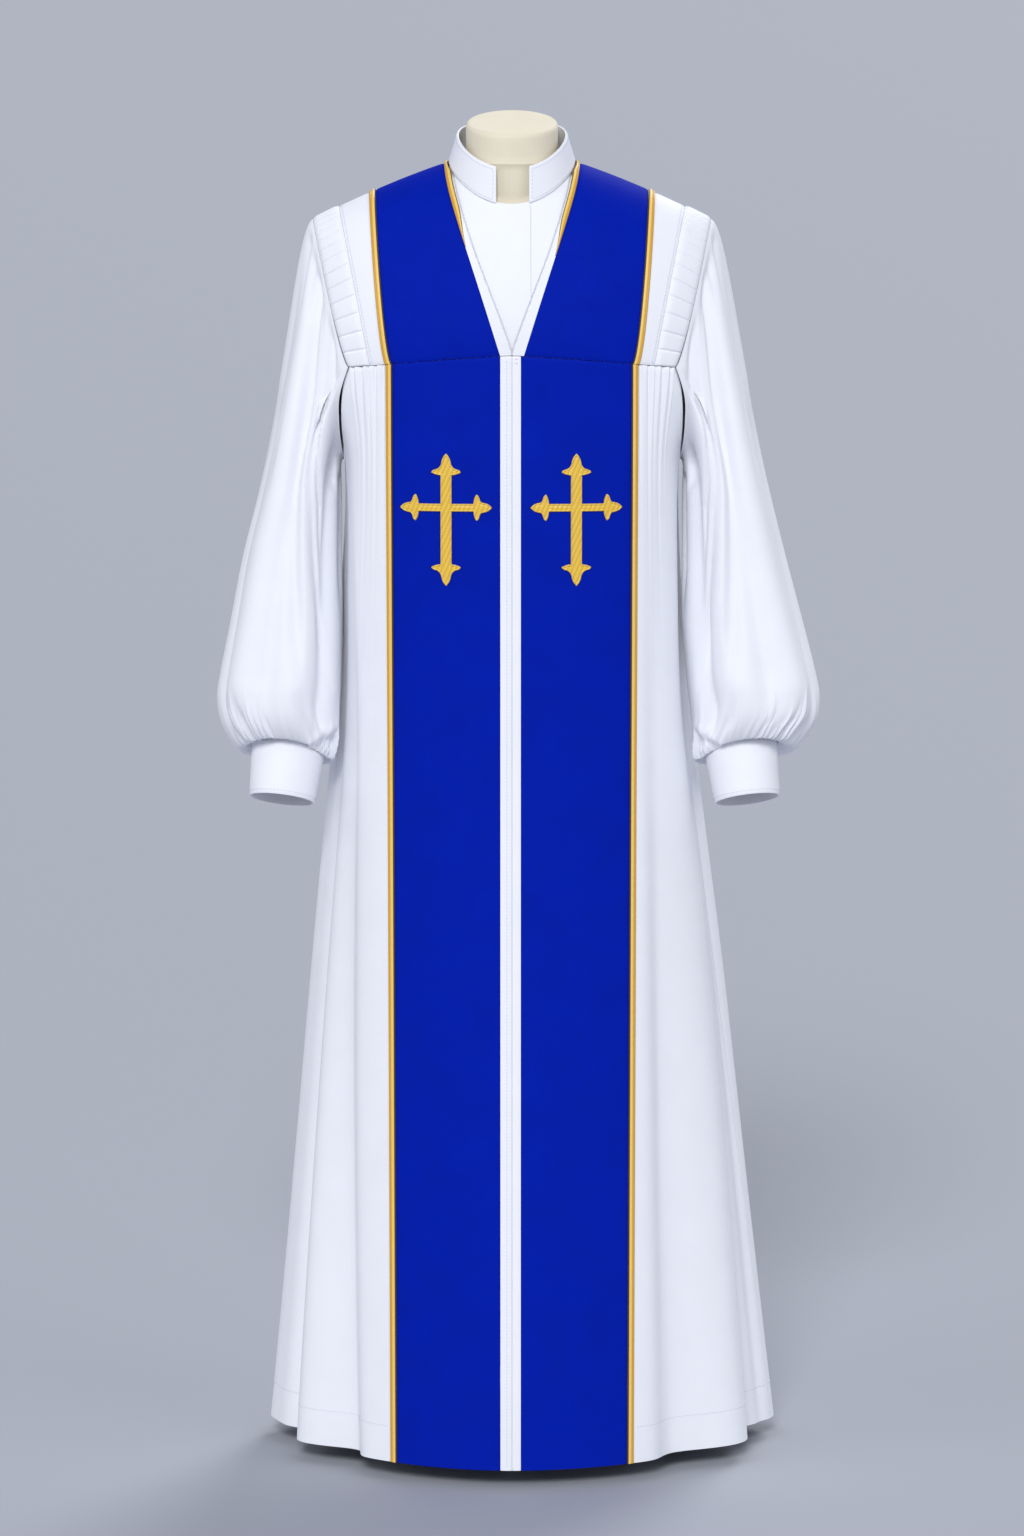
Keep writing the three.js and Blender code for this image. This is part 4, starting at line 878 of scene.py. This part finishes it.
def sleeveSheet(side):
    # head: cubic curves from the armhole to the underarm ring; arm: rings down to the cuff
    head = np.linspace(0, 1, sleeveCut["headRows"], endpoint=False)
    v = np.concatenate([head, 1 + np.linspace(0, 1, sleeveCut["armRows"])])
    place, v = np.meshgrid(np.arange(sleeveCut["columns"]) / sleeveCut["columns"], v)
    down, at = v / 2, np.maximum(v - 1, 0)
    turn, near = place * 2 * np.pi, np.minimum(place, 1 - place)
    fold = sleeveFoldOffset(place, down)
    section = sleeveSection(at, side)
    section["roll"] = sleeveCut["roll"] * ease(0.3, 1, at)
    arm = ringPoint(section, place, fold + gatherDepth(turn, place, down, side) + pouchDepth(place, at))
    front = np.maximum(np.sin(turn), 0) ** 2
    arm[..., 2] += sleeveCut["frontLift"] * front * ease(0.72, 0.93, at) * ease(1, 0.96, at)
    out = armholeOut(place)
    start = armholePoint(place) + out * mix(cloth["seam"] + 0.1, 1.2, ease(0.16, 0.25, near))[..., None]
    leave = start + out * mix(sleeveHead["out"], 5, ease(0.1, 0.5, near))[..., None]
    drop = np.maximum(start[..., 2] - arm[..., 2], 0) / sleeveHead["fall"] * sleeveHead["down"]
    following = ringPoint(sleeveSection(np.full_like(v, 0.2), side), place, fold)
    arrive = arm - unit(following - arm) * drop[..., None]
    s = np.clip(v, 0, 1)[..., None]
    head = (1 - s) ** 3 * start + 3 * (1 - s) ** 2 * s * leave + 3 * (1 - s) * s * s * arrive + s**3 * arm
    points = np.where((v < 1)[..., None], head, arm)
    s = s[..., 0]
    reached = 3 * (1 - s) * s**2 + s**3  # share of the folds that the head already has
    points = points + gridNormals(points, 1, True) * (fold * (1 - reached) * ease(0.02, 0.16, v))[..., None]
    points[..., 0] *= side
    return points


def buildSleeve(side, name):
    clothPiece(f"sleeve{name}", "white", f"sleeve_{name.lower()}", sleeveSheet(side), side, ring=True)


def cuffSheet(side, columns, shares):
    # rings that narrow from the gathered edge of the sleeve to the cuff's open end
    end = sleeveSection(np.array(1.0), side)
    pitch, roll = math.radians(cuff["pitch"]), math.radians(cuff["roll"])
    axis = np.array([math.sin(roll), -math.sin(pitch) * math.cos(roll), -math.cos(pitch) * math.cos(roll)])
    place, v = np.meshgrid(np.arange(columns) / columns, shares)
    radius = end["half"] - cloth["seam"] * 2 - cuff["taper"] * v
    ring = {"x": end["x"], "y": cuff["centreY"], "z": cuff["centreZ"] + 1.6, "half": radius, "deep": radius,
            "pitch": cuff["pitch"], "roll": cuff["roll"]}
    points = ringPoint(ring, place) + axis * (cuff["length"] * v)[..., None]
    points[..., 0] *= side
    return points


def buildCuff(side, name):
    points = cuffSheet(side, 120, edged(20, step=0.02))
    clothPiece(f"cuff{name}", "white", f"cuff_{name.lower()}", points, side, ["top", "low"], (0.5, 0.8),
               thick=cloth["stiff"], ring=True)


# Stitches: short runs of thread, each a small spindle laid along the cloth
thread = {"length": 2.5, "gap": 1.3, "radius": 0.3, "lift": 0.28}
stitchLines = []


def stitchLine(points, normals):
    # evenly spaced stitches on a line of surface points
    away = np.concatenate([[0], np.cumsum(np.linalg.norm(np.diff(points, axis=0), axis=-1))])
    pitch = thread["length"] + thread["gap"]
    count = int(away[-1] / pitch)
    centres = (np.arange(count) + 0.5) * away[-1] / count
    read = lambda values, place: np.stack([np.interp(place, away, column) for column in values.T], -1)
    half = thread["length"] / 2
    tangent = unit(read(points, centres + half) - read(points, centres - half))
    normal = unit(read(normals, centres))
    stitchLines.append((read(points, centres) + normal * thread["lift"], tangent, normal))


def buildStitches(name):
    # radius along each stitch: 0.35 at the ends, 1 between; four sides
    centre, tangent, normal = (np.concatenate([line[k] for line in stitchLines])[:, None] for k in range(3))
    stitchLines.clear()
    along = np.array([-1, -0.6, 0.6, 1]) * thread["length"] / 2
    radius = np.array([0.35, 1, 1, 0.35]) * thread["radius"]
    turn = np.radians([45, 135, 225, 315])[:, None]
    sides = np.cross(tangent, normal) * np.cos(turn) + normal * np.sin(turn)
    verts = (centre + tangent * along[:, None])[:, :, None] + sides[:, None] * radius[:, None, None]
    ring = np.arange(16).reshape(4, 4)
    a, b = ring[:-1], np.roll(ring[:-1], -1, 1)
    c, d = np.roll(ring[1:], -1, 1), ring[1:]
    faces = np.concatenate([np.stack([a, b, c, d], -1).reshape(-1, 4), ring[:1, ::-1], ring[-1:]])
    quads = (faces[None] + 16 * np.arange(len(centre))[:, None, None]).reshape(-1, 4)
    verts = verts.reshape(-1, 3)
    finishPiece(meshFrom(name, verts, quads, verts[:, ::2] / 1000, 80), "thread")


for side, name in ((-1, "Right"), (1, "Left")):
    buildFront(side, name)
    buildSideFront(side, name)
    buildYoke(side, name)
    buildNeckEdge(side, name)
    buildSleeve(side, name)
    buildCuff(side, name)
buildBack()
buildYokeBack()
buildBib()
buildCollar()
print("cloth built")


def sheetRows(points, sense, ring, rows=(), columns=()):
    # stitches along whole rows and columns of a sheet
    normals = gridNormals(points, sense, ring)
    for row in rows:
        close = slice(None) if not ring else np.r_[0:points.shape[1], 0]
        stitchLine(points[row][close], normals[row][close])
    for column in columns:
        stitchLine(points[:, column], normals[:, column])


sewing = {"frontX": -5.5, "tacks": (1190.5, 1186), "tackX": (1, 8.2), "hemHeight": 38, "yokeX": 3.2}


def sewRobe():
    # down the front, two bar tacks at the foot of the V, round the hem and beside the fluting
    z = np.linspace(yokeSeam["height"] - 4, cloth["hem"] + 3, 500)
    ahead = np.broadcast_to([0.0, -1.0, 0.0], (500, 3))
    stitchLine(frontPoint(sewing["frontX"] + 0 * z, z), ahead)
    for height in sewing["tacks"]:
        stitchLine(frontPoint(np.linspace(*sewing["tackX"], 12), np.full(12, height)), ahead[:12])
    buildStitches("frontStitches")
    hemAt = cloth["hem"] + sewing["hemHeight"]
    end, back = sideSeam["front"] - 0.3, sideSeam["back"]
    runs = [(1, np.linspace(back + 0.3, 360 - back - 0.3, 1600))]
    for side in (1, -1):
        start = float(sideFrontAngle(side, hemAt)) + 0.6
        runs.insert(0, (side, side * np.linspace(start, end, 400)))
    for side, angle in runs:
        points = bodyPoint(np.where(angle > 180, angle - 360, angle), hemAt)
        stitchLine(points, unit(np.cross(np.gradient(points, axis=0), (0, 0, 1)) * side))
    buildStitches("hemStitches")
    t = np.linspace(-archEnd + 0.01, archEnd - 0.01, 300)
    for side in (-1, 1):
        x = flutingInnerX(t) - sewing["yokeX"]
        points, beside = archPoint(side * x, t), archPoint(side * (x + 1), t)
        stitchLine(points, unit(np.cross(beside - points, np.gradient(points, axis=0))) * -side)
    buildStitches("yokeStitches")


def sewCuffs():
    for side in (-1, 1):
        points = cuffSheet(side, 120, np.array([0, 0.06, 0.5, 0.93, 1]))
        sheetRows(points, side, True, rows=(1, 3))
    points = collarSheet(*np.meshgrid(np.linspace(0.008, 0.992, 200), [0, 0.08, 0.5, 0.9, 1]))
    sheetRows(points, -1, False, rows=(1, 3))
    for end in (0.0085, 0.9915):
        points = collarSheet(*np.meshgrid([end - 0.002, end, end + 0.002], np.linspace(0.1, 0.88, 20)))
        sheetRows(points, -1, False, columns=(1,))
    buildStitches("edgeStitches")


sewRobe()
sewCuffs()
print("sewn")


# Crosses: a raised satin-stitched shape laid on each blue panel
cross = {"height": 139, "width": 96.3, "barDown": 56.7, "topZ": 1091.7, "upright": 11.7, "crossbar": 8.2,
         "lift": 0.3, "border": 2.0, "raise": 1.5, "step": 1.3, "right": -69.2, "left": 67.6,
         "insets": (0.25, 0.6, 1.1, 1.6, 2.0), "clear": 2.4,
         "sideLeaf": (13.8, 15.0), "endLeaf": (15.5, 18.5)}


def curve(start, bend, end, count=7):
    t = np.linspace(0, 1, count)[1:, None]
    return (1 - t) ** 2 * np.array(start) + 2 * (1 - t) * t * np.array(bend) + t * t * np.array(end)


def crossOutline():
    # four arms, each a bar that ends in a pointed bud with a leaf on either side
    up, bar = cross["upright"] / 2, cross["crossbar"] / 2
    sideArm = (bar, up, cross["width"] / 2, cross["sideLeaf"])
    above = (up, bar, cross["barDown"], cross["endLeaf"])
    below = (up, bar, cross["height"] - cross["barDown"], cross["endLeaf"])
    points = []
    for turn, (half, near, reach, (leaf, back)) in enumerate((sideArm, above, sideArm, below)):
        neck, waist = reach - back, reach - back + back * 0.42
        # each corner with the bend of the curve that leads to it; the upper side mirrors the lower
        lower = [((near, -half), None),
                 ((neck - 4.5, -half), None),
                 ((neck - 1.5, -leaf), (neck - 4, -leaf * 0.75)),
                 ((neck + 2, -leaf * 0.7), (neck + 1.2, -leaf * 0.98)),
                 ((waist, -5.2), (neck + 3, -half - 1)),
                 ((reach, 0), (neck + back * 0.78, -4.6))]
        upper = [((x, -y), bend and (bend[0], -bend[1]))
                 for ((x, y), _), (_, bend) in zip(lower[-2::-1], lower[:0:-1])]
        corners = lower + upper
        path = [np.array([corners[0][0]])]
        for (end, bend), (start, _) in zip(corners[1:], corners):
            if bend is None:
                count = max(int(math.dist(start, end) / cross["step"]), 1)
                path.append(mix(np.array(start), np.array(end), np.linspace(0, 1, count + 1)[1:, None]))
            else:
                path.append(curve(start, bend, end))
        x, y = np.concatenate(path)[:-1].T
        cosine, sine = (1, 0, -1, 0)[turn], (0, 1, 0, -1)[turn]
        points.append(np.stack([x * cosine - y * sine, x * sine + y * cosine], -1))
    return np.concatenate(points)


def outlineDistance(points, outline):
    # distance from each point to the nearest stretch of the closed outline
    start, step = outline, np.roll(outline, -1, 0) - outline
    offset = points[:, None] - start[None]
    share = np.clip((offset * step).sum(-1) / (step**2).sum(-1), 0, 1)
    return np.linalg.norm(offset - share[..., None] * step, axis=-1).min(1)


def crossRaise(distance):
    # a satin border that rises as a sine over its width, round a slightly higher middle
    width = cross["border"]
    border = np.sin(np.clip(distance / width, 0, 1) * np.pi) ** 0.6 * 0.55
    body = ease(0, 0.5, distance) * 0.55 + ease(width * 0.9, width * 1.6, distance) * 0.25
    return np.where(distance < 1e-3, 0, border * (distance < width) + body) * cross["raise"]


def buildCross(side, name):
    # the outline, rings inside it and a lattice are joined into triangles, then laid on the body
    outline = crossOutline()
    count = len(outline)
    tangent = unit(np.roll(outline, -1, 0) - np.roll(outline, 1, 0))
    inward = np.stack([-tangent[:, 1], tangent[:, 0]], -1)
    rings = []
    for inset in cross["insets"]:
        ring = outline + inward * inset
        rings.append(ring[outlineDistance(ring, outline) > inset * 0.9])
    xs = np.arange(-cross["width"] / 2, cross["width"] / 2, cross["step"])
    zs = np.arange(-(cross["height"] - cross["barDown"]), cross["barDown"], cross["step"])
    lattice = np.stack(np.meshgrid(xs, zs), -1).reshape(-1, 2)
    lattice = lattice[outlineDistance(lattice, outline) > cross["clear"]]
    points = [tuple(point) for point in np.concatenate([outline, *rings, lattice])]
    edges = [(i, (i + 1) % count) for i in range(count)]
    flat, _, faces, *_ = delaunay_2d_cdt(points, edges, [list(range(count))], 1, 1e-4)
    flat = np.array([tuple(point) for point in flat])
    raised = crossRaise(outlineDistance(flat, outline))
    x = flat[:, 0] + cross["left" if side > 0 else "right"]
    z = flat[:, 1] + cross["topZ"] - cross["barDown"]
    low = frontPoint(x, z)
    away = unit(stack3(np.gradient(bodyDepth(np.stack([x - 1, x + 1]), z, 1), axis=0)[0] * -0.5, -1, 0 * z))
    front = low + away * (cross["lift"] + 0.25 + raised)[:, None]
    back = low + away * cross["lift"]
    triangles = np.array([list(face) for face in faces if len(face) == 3])
    layer = len(flat)
    a, b, c = (front[triangles[:, i]] for i in range(3))
    wrong = np.cross(b - a, c - a)[:, 1] > 0
    triangles[wrong] = triangles[wrong][:, ::-1]
    start, end = np.arange(count), (np.arange(count) + 1) % count
    frontRim = np.stack([start, end, end + layer], -1)
    backRim = np.stack([start, end + layer, start + layer], -1)
    faces = np.concatenate([triangles, triangles[:, ::-1] + layer, frontRim, backRim])
    verts, uvs = np.concatenate([front, back]), np.concatenate([flat, flat]) / 1000
    finishPiece(meshFrom(f"cross{name}", verts, faces, uvs, 60), "cross", f"cross_{name.lower()}")


for side, name in ((-1, "Right"), (1, "Left")):
    buildCross(side, name)
print("crosses built")


# Dress form: torso below the robe and a neck with a slanted top
formRows = {
    "z": [631, 731, 871, 981, 1091, 1171],
    "width": [150, 158, 143, 132, 150, 160],
    "front": [104, 112, 104, 100, 110, 112],
    "back": [108, 116, 100, 92, 100, 104],
}
form = {"power": 2.6, "shoulderWidth": 166, "shoulderFront": 114, "shoulderBack": 106, "drop": 2.3,
        "slopeDrop": 2.4, "bibDrop": 8.5, "bibInset": 5, "inset": 6, "neckRadius": 49, "neckY": -12,
        "columns": 120, "foot": 631, "chest": 1171, "blendTop": 1196}
neckCap = {"foot": 1405, "height": 1434.5, "tilt": 14.3, "edge": 4}


def sectionRadius(angle, width, front, back, power):
    wide, cosine = np.abs(sinDeg(angle)) / width, cosDeg(angle)
    return (wide**power + (np.abs(cosine) / np.where(cosine > 0, front, back)) ** power) ** (-1 / power)


def shoulderRadius(angle, z):
    # how far out the robe's inside, lowered by the drop, still stands over this height
    def inside(radius):
        x, y = radius * sinDeg(angle), -radius * cosDeg(angle)
        over = form["drop"] + form["slopeDrop"] * ease(4, 45, np.abs(y))
        drop = mix(over, form["bibDrop"], ease(86, 68, np.abs(x)) * ease(20, 0, y))
        depth = bodyDepth(x, seamHeight(x), np.where(y < 0, 1, -1))
        return (np.abs(y) < depth) & (archHeight(x, y) - drop > z)

    return bisect(np.zeros_like(angle), np.full_like(angle, 205), inside)


def torsoRadius(angle, z):
    # the form's own section up to the chest, and above it whatever fits under the robe
    row = readRows(formRows, "z", np.minimum(z, form["chest"]))
    below = sectionRadius(angle, row["width"], row["front"], row["back"], form["power"])
    limit = sectionRadius(angle, form["shoulderWidth"], form["shoulderFront"], form["shoulderBack"], 3)
    fromFront = np.minimum(angle, 360 - angle)
    inset = form["inset"] * ease(1356, 1186, z) + form["bibInset"] * ease(75, 45, fromFront)
    above = np.minimum(shoulderRadius(angle, z) - inset, limit)
    return np.where(z <= form["chest"], below, mix(below, above, ease(form["chest"], form["blendTop"], z)))


def neckReach(angle, radius):
    # from the robe's axis to a circle about the neck's own axis
    shift, across = -form["neckY"] * cosDeg(angle), form["neckY"] * sinDeg(angle)
    return shift + np.sqrt(np.maximum(radius**2 - across**2, 0))


def closedStack(name, rings, sharp=30):
    # rings of points from the bottom up, closed by a fan at each end
    rows, columns = rings.shape[:2]
    verts = np.concatenate([rings.reshape(-1, 3), rings[:1].mean(1), rings[-1:].mean(1)])
    index = np.arange(rows * columns).reshape(rows, columns)
    nextIndex = np.roll(index, -1, 1)
    a, b, c, d = index[:-1], nextIndex[:-1], nextIndex[1:], index[1:]
    sides = np.concatenate([np.stack([a, b, c], -1).reshape(-1, 3), np.stack([a, c, d], -1).reshape(-1, 3)])
    low = np.stack([nextIndex[0], index[0], np.full(columns, rows * columns)], -1)
    high = np.stack([index[-1], nextIndex[-1], np.full(columns, rows * columns + 1)], -1)
    uvs = np.stack([verts[:, 0] + verts[:, 1] * 0.3, verts[:, 2]], -1) / 1000
    return meshFrom(name, verts, np.concatenate([sides, low, high]), uvs, sharp)


def buildForm():
    foot, chest, radius = form["foot"], form["chest"], form["neckRadius"]
    turns = np.arange(form["columns"]) * 360 / form["columns"]
    heights = [np.linspace(foot, chest, 40), np.linspace(chest + 10, 1311, 20), np.linspace(1317, 1387, 26)]
    angle, z = np.meshgrid(turns, np.concatenate(heights))
    reach = np.maximum(torsoRadius(angle, z), neckReach(angle, radius))
    rings = [stack3(reach * sinDeg(angle), -reach * cosDeg(angle), z)]
    top, edge, tilt = neckCap["height"], neckCap["edge"], math.tan(math.radians(neckCap["tilt"]))
    neck = [(1391.5, 0, radius + 2), (1398, 0.1, radius + 0.4), (neckCap["foot"], 0.3, radius)]
    for share in np.linspace(0.15, 1, 7):
        neck.append((mix(neckCap["foot"], top - edge, share), 0.3 + 0.7 * share, radius - 0.3 * share))
    for turn in np.radians(np.linspace(15, 90, 6)):  # rounded edge
        neck.append((top - edge + edge * math.sin(turn), 1, radius - 0.5 - edge + edge * math.cos(turn)))
    neck += [(top - 0.4, 1, 38), (top - 0.8, 1, 18)]
    for height, tilted, around in neck:  # each ring's height, share of the tilt and radius
        away = neckReach(turns, around)
        y = -away * cosDeg(turns)
        rings.append(stack3(away * sinDeg(turns), y, height + (y - form["neckY"]) * tilt * tilted)[None])
    finishPiece(closedStack("dressForm", np.concatenate(rings)), "form", "dress_form")


# Stand: a round base with a hub, and a pole with a flange under the form
stand = {"baseRadius": 150, "baseThick": 9, "hubRadius": 34, "hubTop": 16, "poleRadius": 12.5,
         "flange": 45, "round": 3}


def turnedBody(name, profile, columns=128):
    angle = np.linspace(0, 2 * np.pi, columns, endpoint=False)
    profile = np.array(profile, float)
    radius, z = profile[:, :1], profile[:, 1:]
    return closedStack(name, stack3(radius * np.sin(angle), -radius * np.cos(angle), z + 0 * angle))


def buildStand():
    # each outline is (radius, height) from the bottom up, turned about the axis
    radius, thick, hub, top = stand["baseRadius"], stand["baseThick"], stand["hubRadius"], stand["hubTop"]
    pole, flange, edge = stand["poleRadius"], stand["flange"], stand["round"]
    arc = np.radians(np.linspace(0, 90, 7))
    rounded = lambda r, z: [(r - edge + edge * math.cos(a), z - edge + edge * math.sin(a)) for a in arc]
    base = [(radius - 3, 0), (radius - 1, 0.6), (radius, 3), *rounded(radius, thick),
            (hub + 2, thick), (hub, thick + 1.5), *rounded(hub, top)]
    finishPiece(turnedBody("standBase", base), "stand", "stand_base")
    low, high = top + cloth["seam"], form["foot"] - cloth["seam"]
    line = [(23, low), (24, low + 1), (24, low + 4.5), (23, low + 5.5), (14, low + 8),
            (pole, low + 10), (pole, high - 14), (16, high - 11),
            (flange - 1, high - 5), (flange, high - 4), (flange, high - 1), (flange - 1, high)]
    finishPiece(turnedBody("standPole", line, 64), "stand", "stand_pole")


buildForm()
buildStand()
print("form and stand built")

# Studio: pale floor, soft light, camera
studio = {"floor": (0.4, 0.42, 0.47), "floorSize": 2400, "world": (0.56, 0.60, 0.72), "worldPower": 0.5}
view = {"place": (0, -5.942, 1.576), "pitch": 82, "lens": 130.2, "sensor": 36}  # the camera, in metres
lamps = {  # where each soft sun stands, its strength and its width in degrees
    "key": ((-0.5, -4.7, 3.2), 1.78, 18),
    "fill": ((3.6, -2.2, 1.6), 0.5, 50),
    "side": ((-4.0, -1.8, 1.8), 0.5, 40),
    "back": ((1.4, 3.2, 2.6), 1.4, 24),
}


def buildStudio():
    bpy.ops.mesh.primitive_plane_add(size=studio["floorSize"], location=(0, 0, 0))
    floor = bpy.context.object
    floor.name = "floor"
    floor.data.materials.append(newMaterial("floorPaper", studio["floor"], 0.9)[0])
    world = bpy.data.worlds.new("studioLight")
    bpy.context.scene.world = world
    world.use_nodes = True
    background = world.node_tree.nodes["Background"]
    background.inputs["Color"].default_value = (*studio["world"], 1)
    background.inputs["Strength"].default_value = studio["worldPower"]
    for name, (spot, power, width) in lamps.items():
        light = bpy.data.lights.new(name, "SUN")
        light.energy = power
        light.angle = math.radians(width)
        lamp = bpy.data.objects.new(name, light)
        bpy.context.scene.collection.objects.link(lamp)
        lamp.location = spot
        x, y, z = spot  # it points at the robe's foot
        lamp.rotation_euler = (math.atan2(math.hypot(x, y), z), 0, math.atan2(-x, y) + math.pi)
    camera = bpy.data.objects.new("camera", bpy.data.cameras.new("camera"))
    camera.data.sensor_fit = "VERTICAL"
    camera.data.sensor_height = view["sensor"]
    camera.data.lens = view["lens"]
    camera.location = view["place"]
    camera.rotation_euler = (math.radians(view["pitch"]), 0, 0)
    bpy.context.scene.collection.objects.link(camera)
    bpy.context.scene.camera = camera
    bpy.context.scene.view_settings.view_transform = "Standard"


buildStudio()
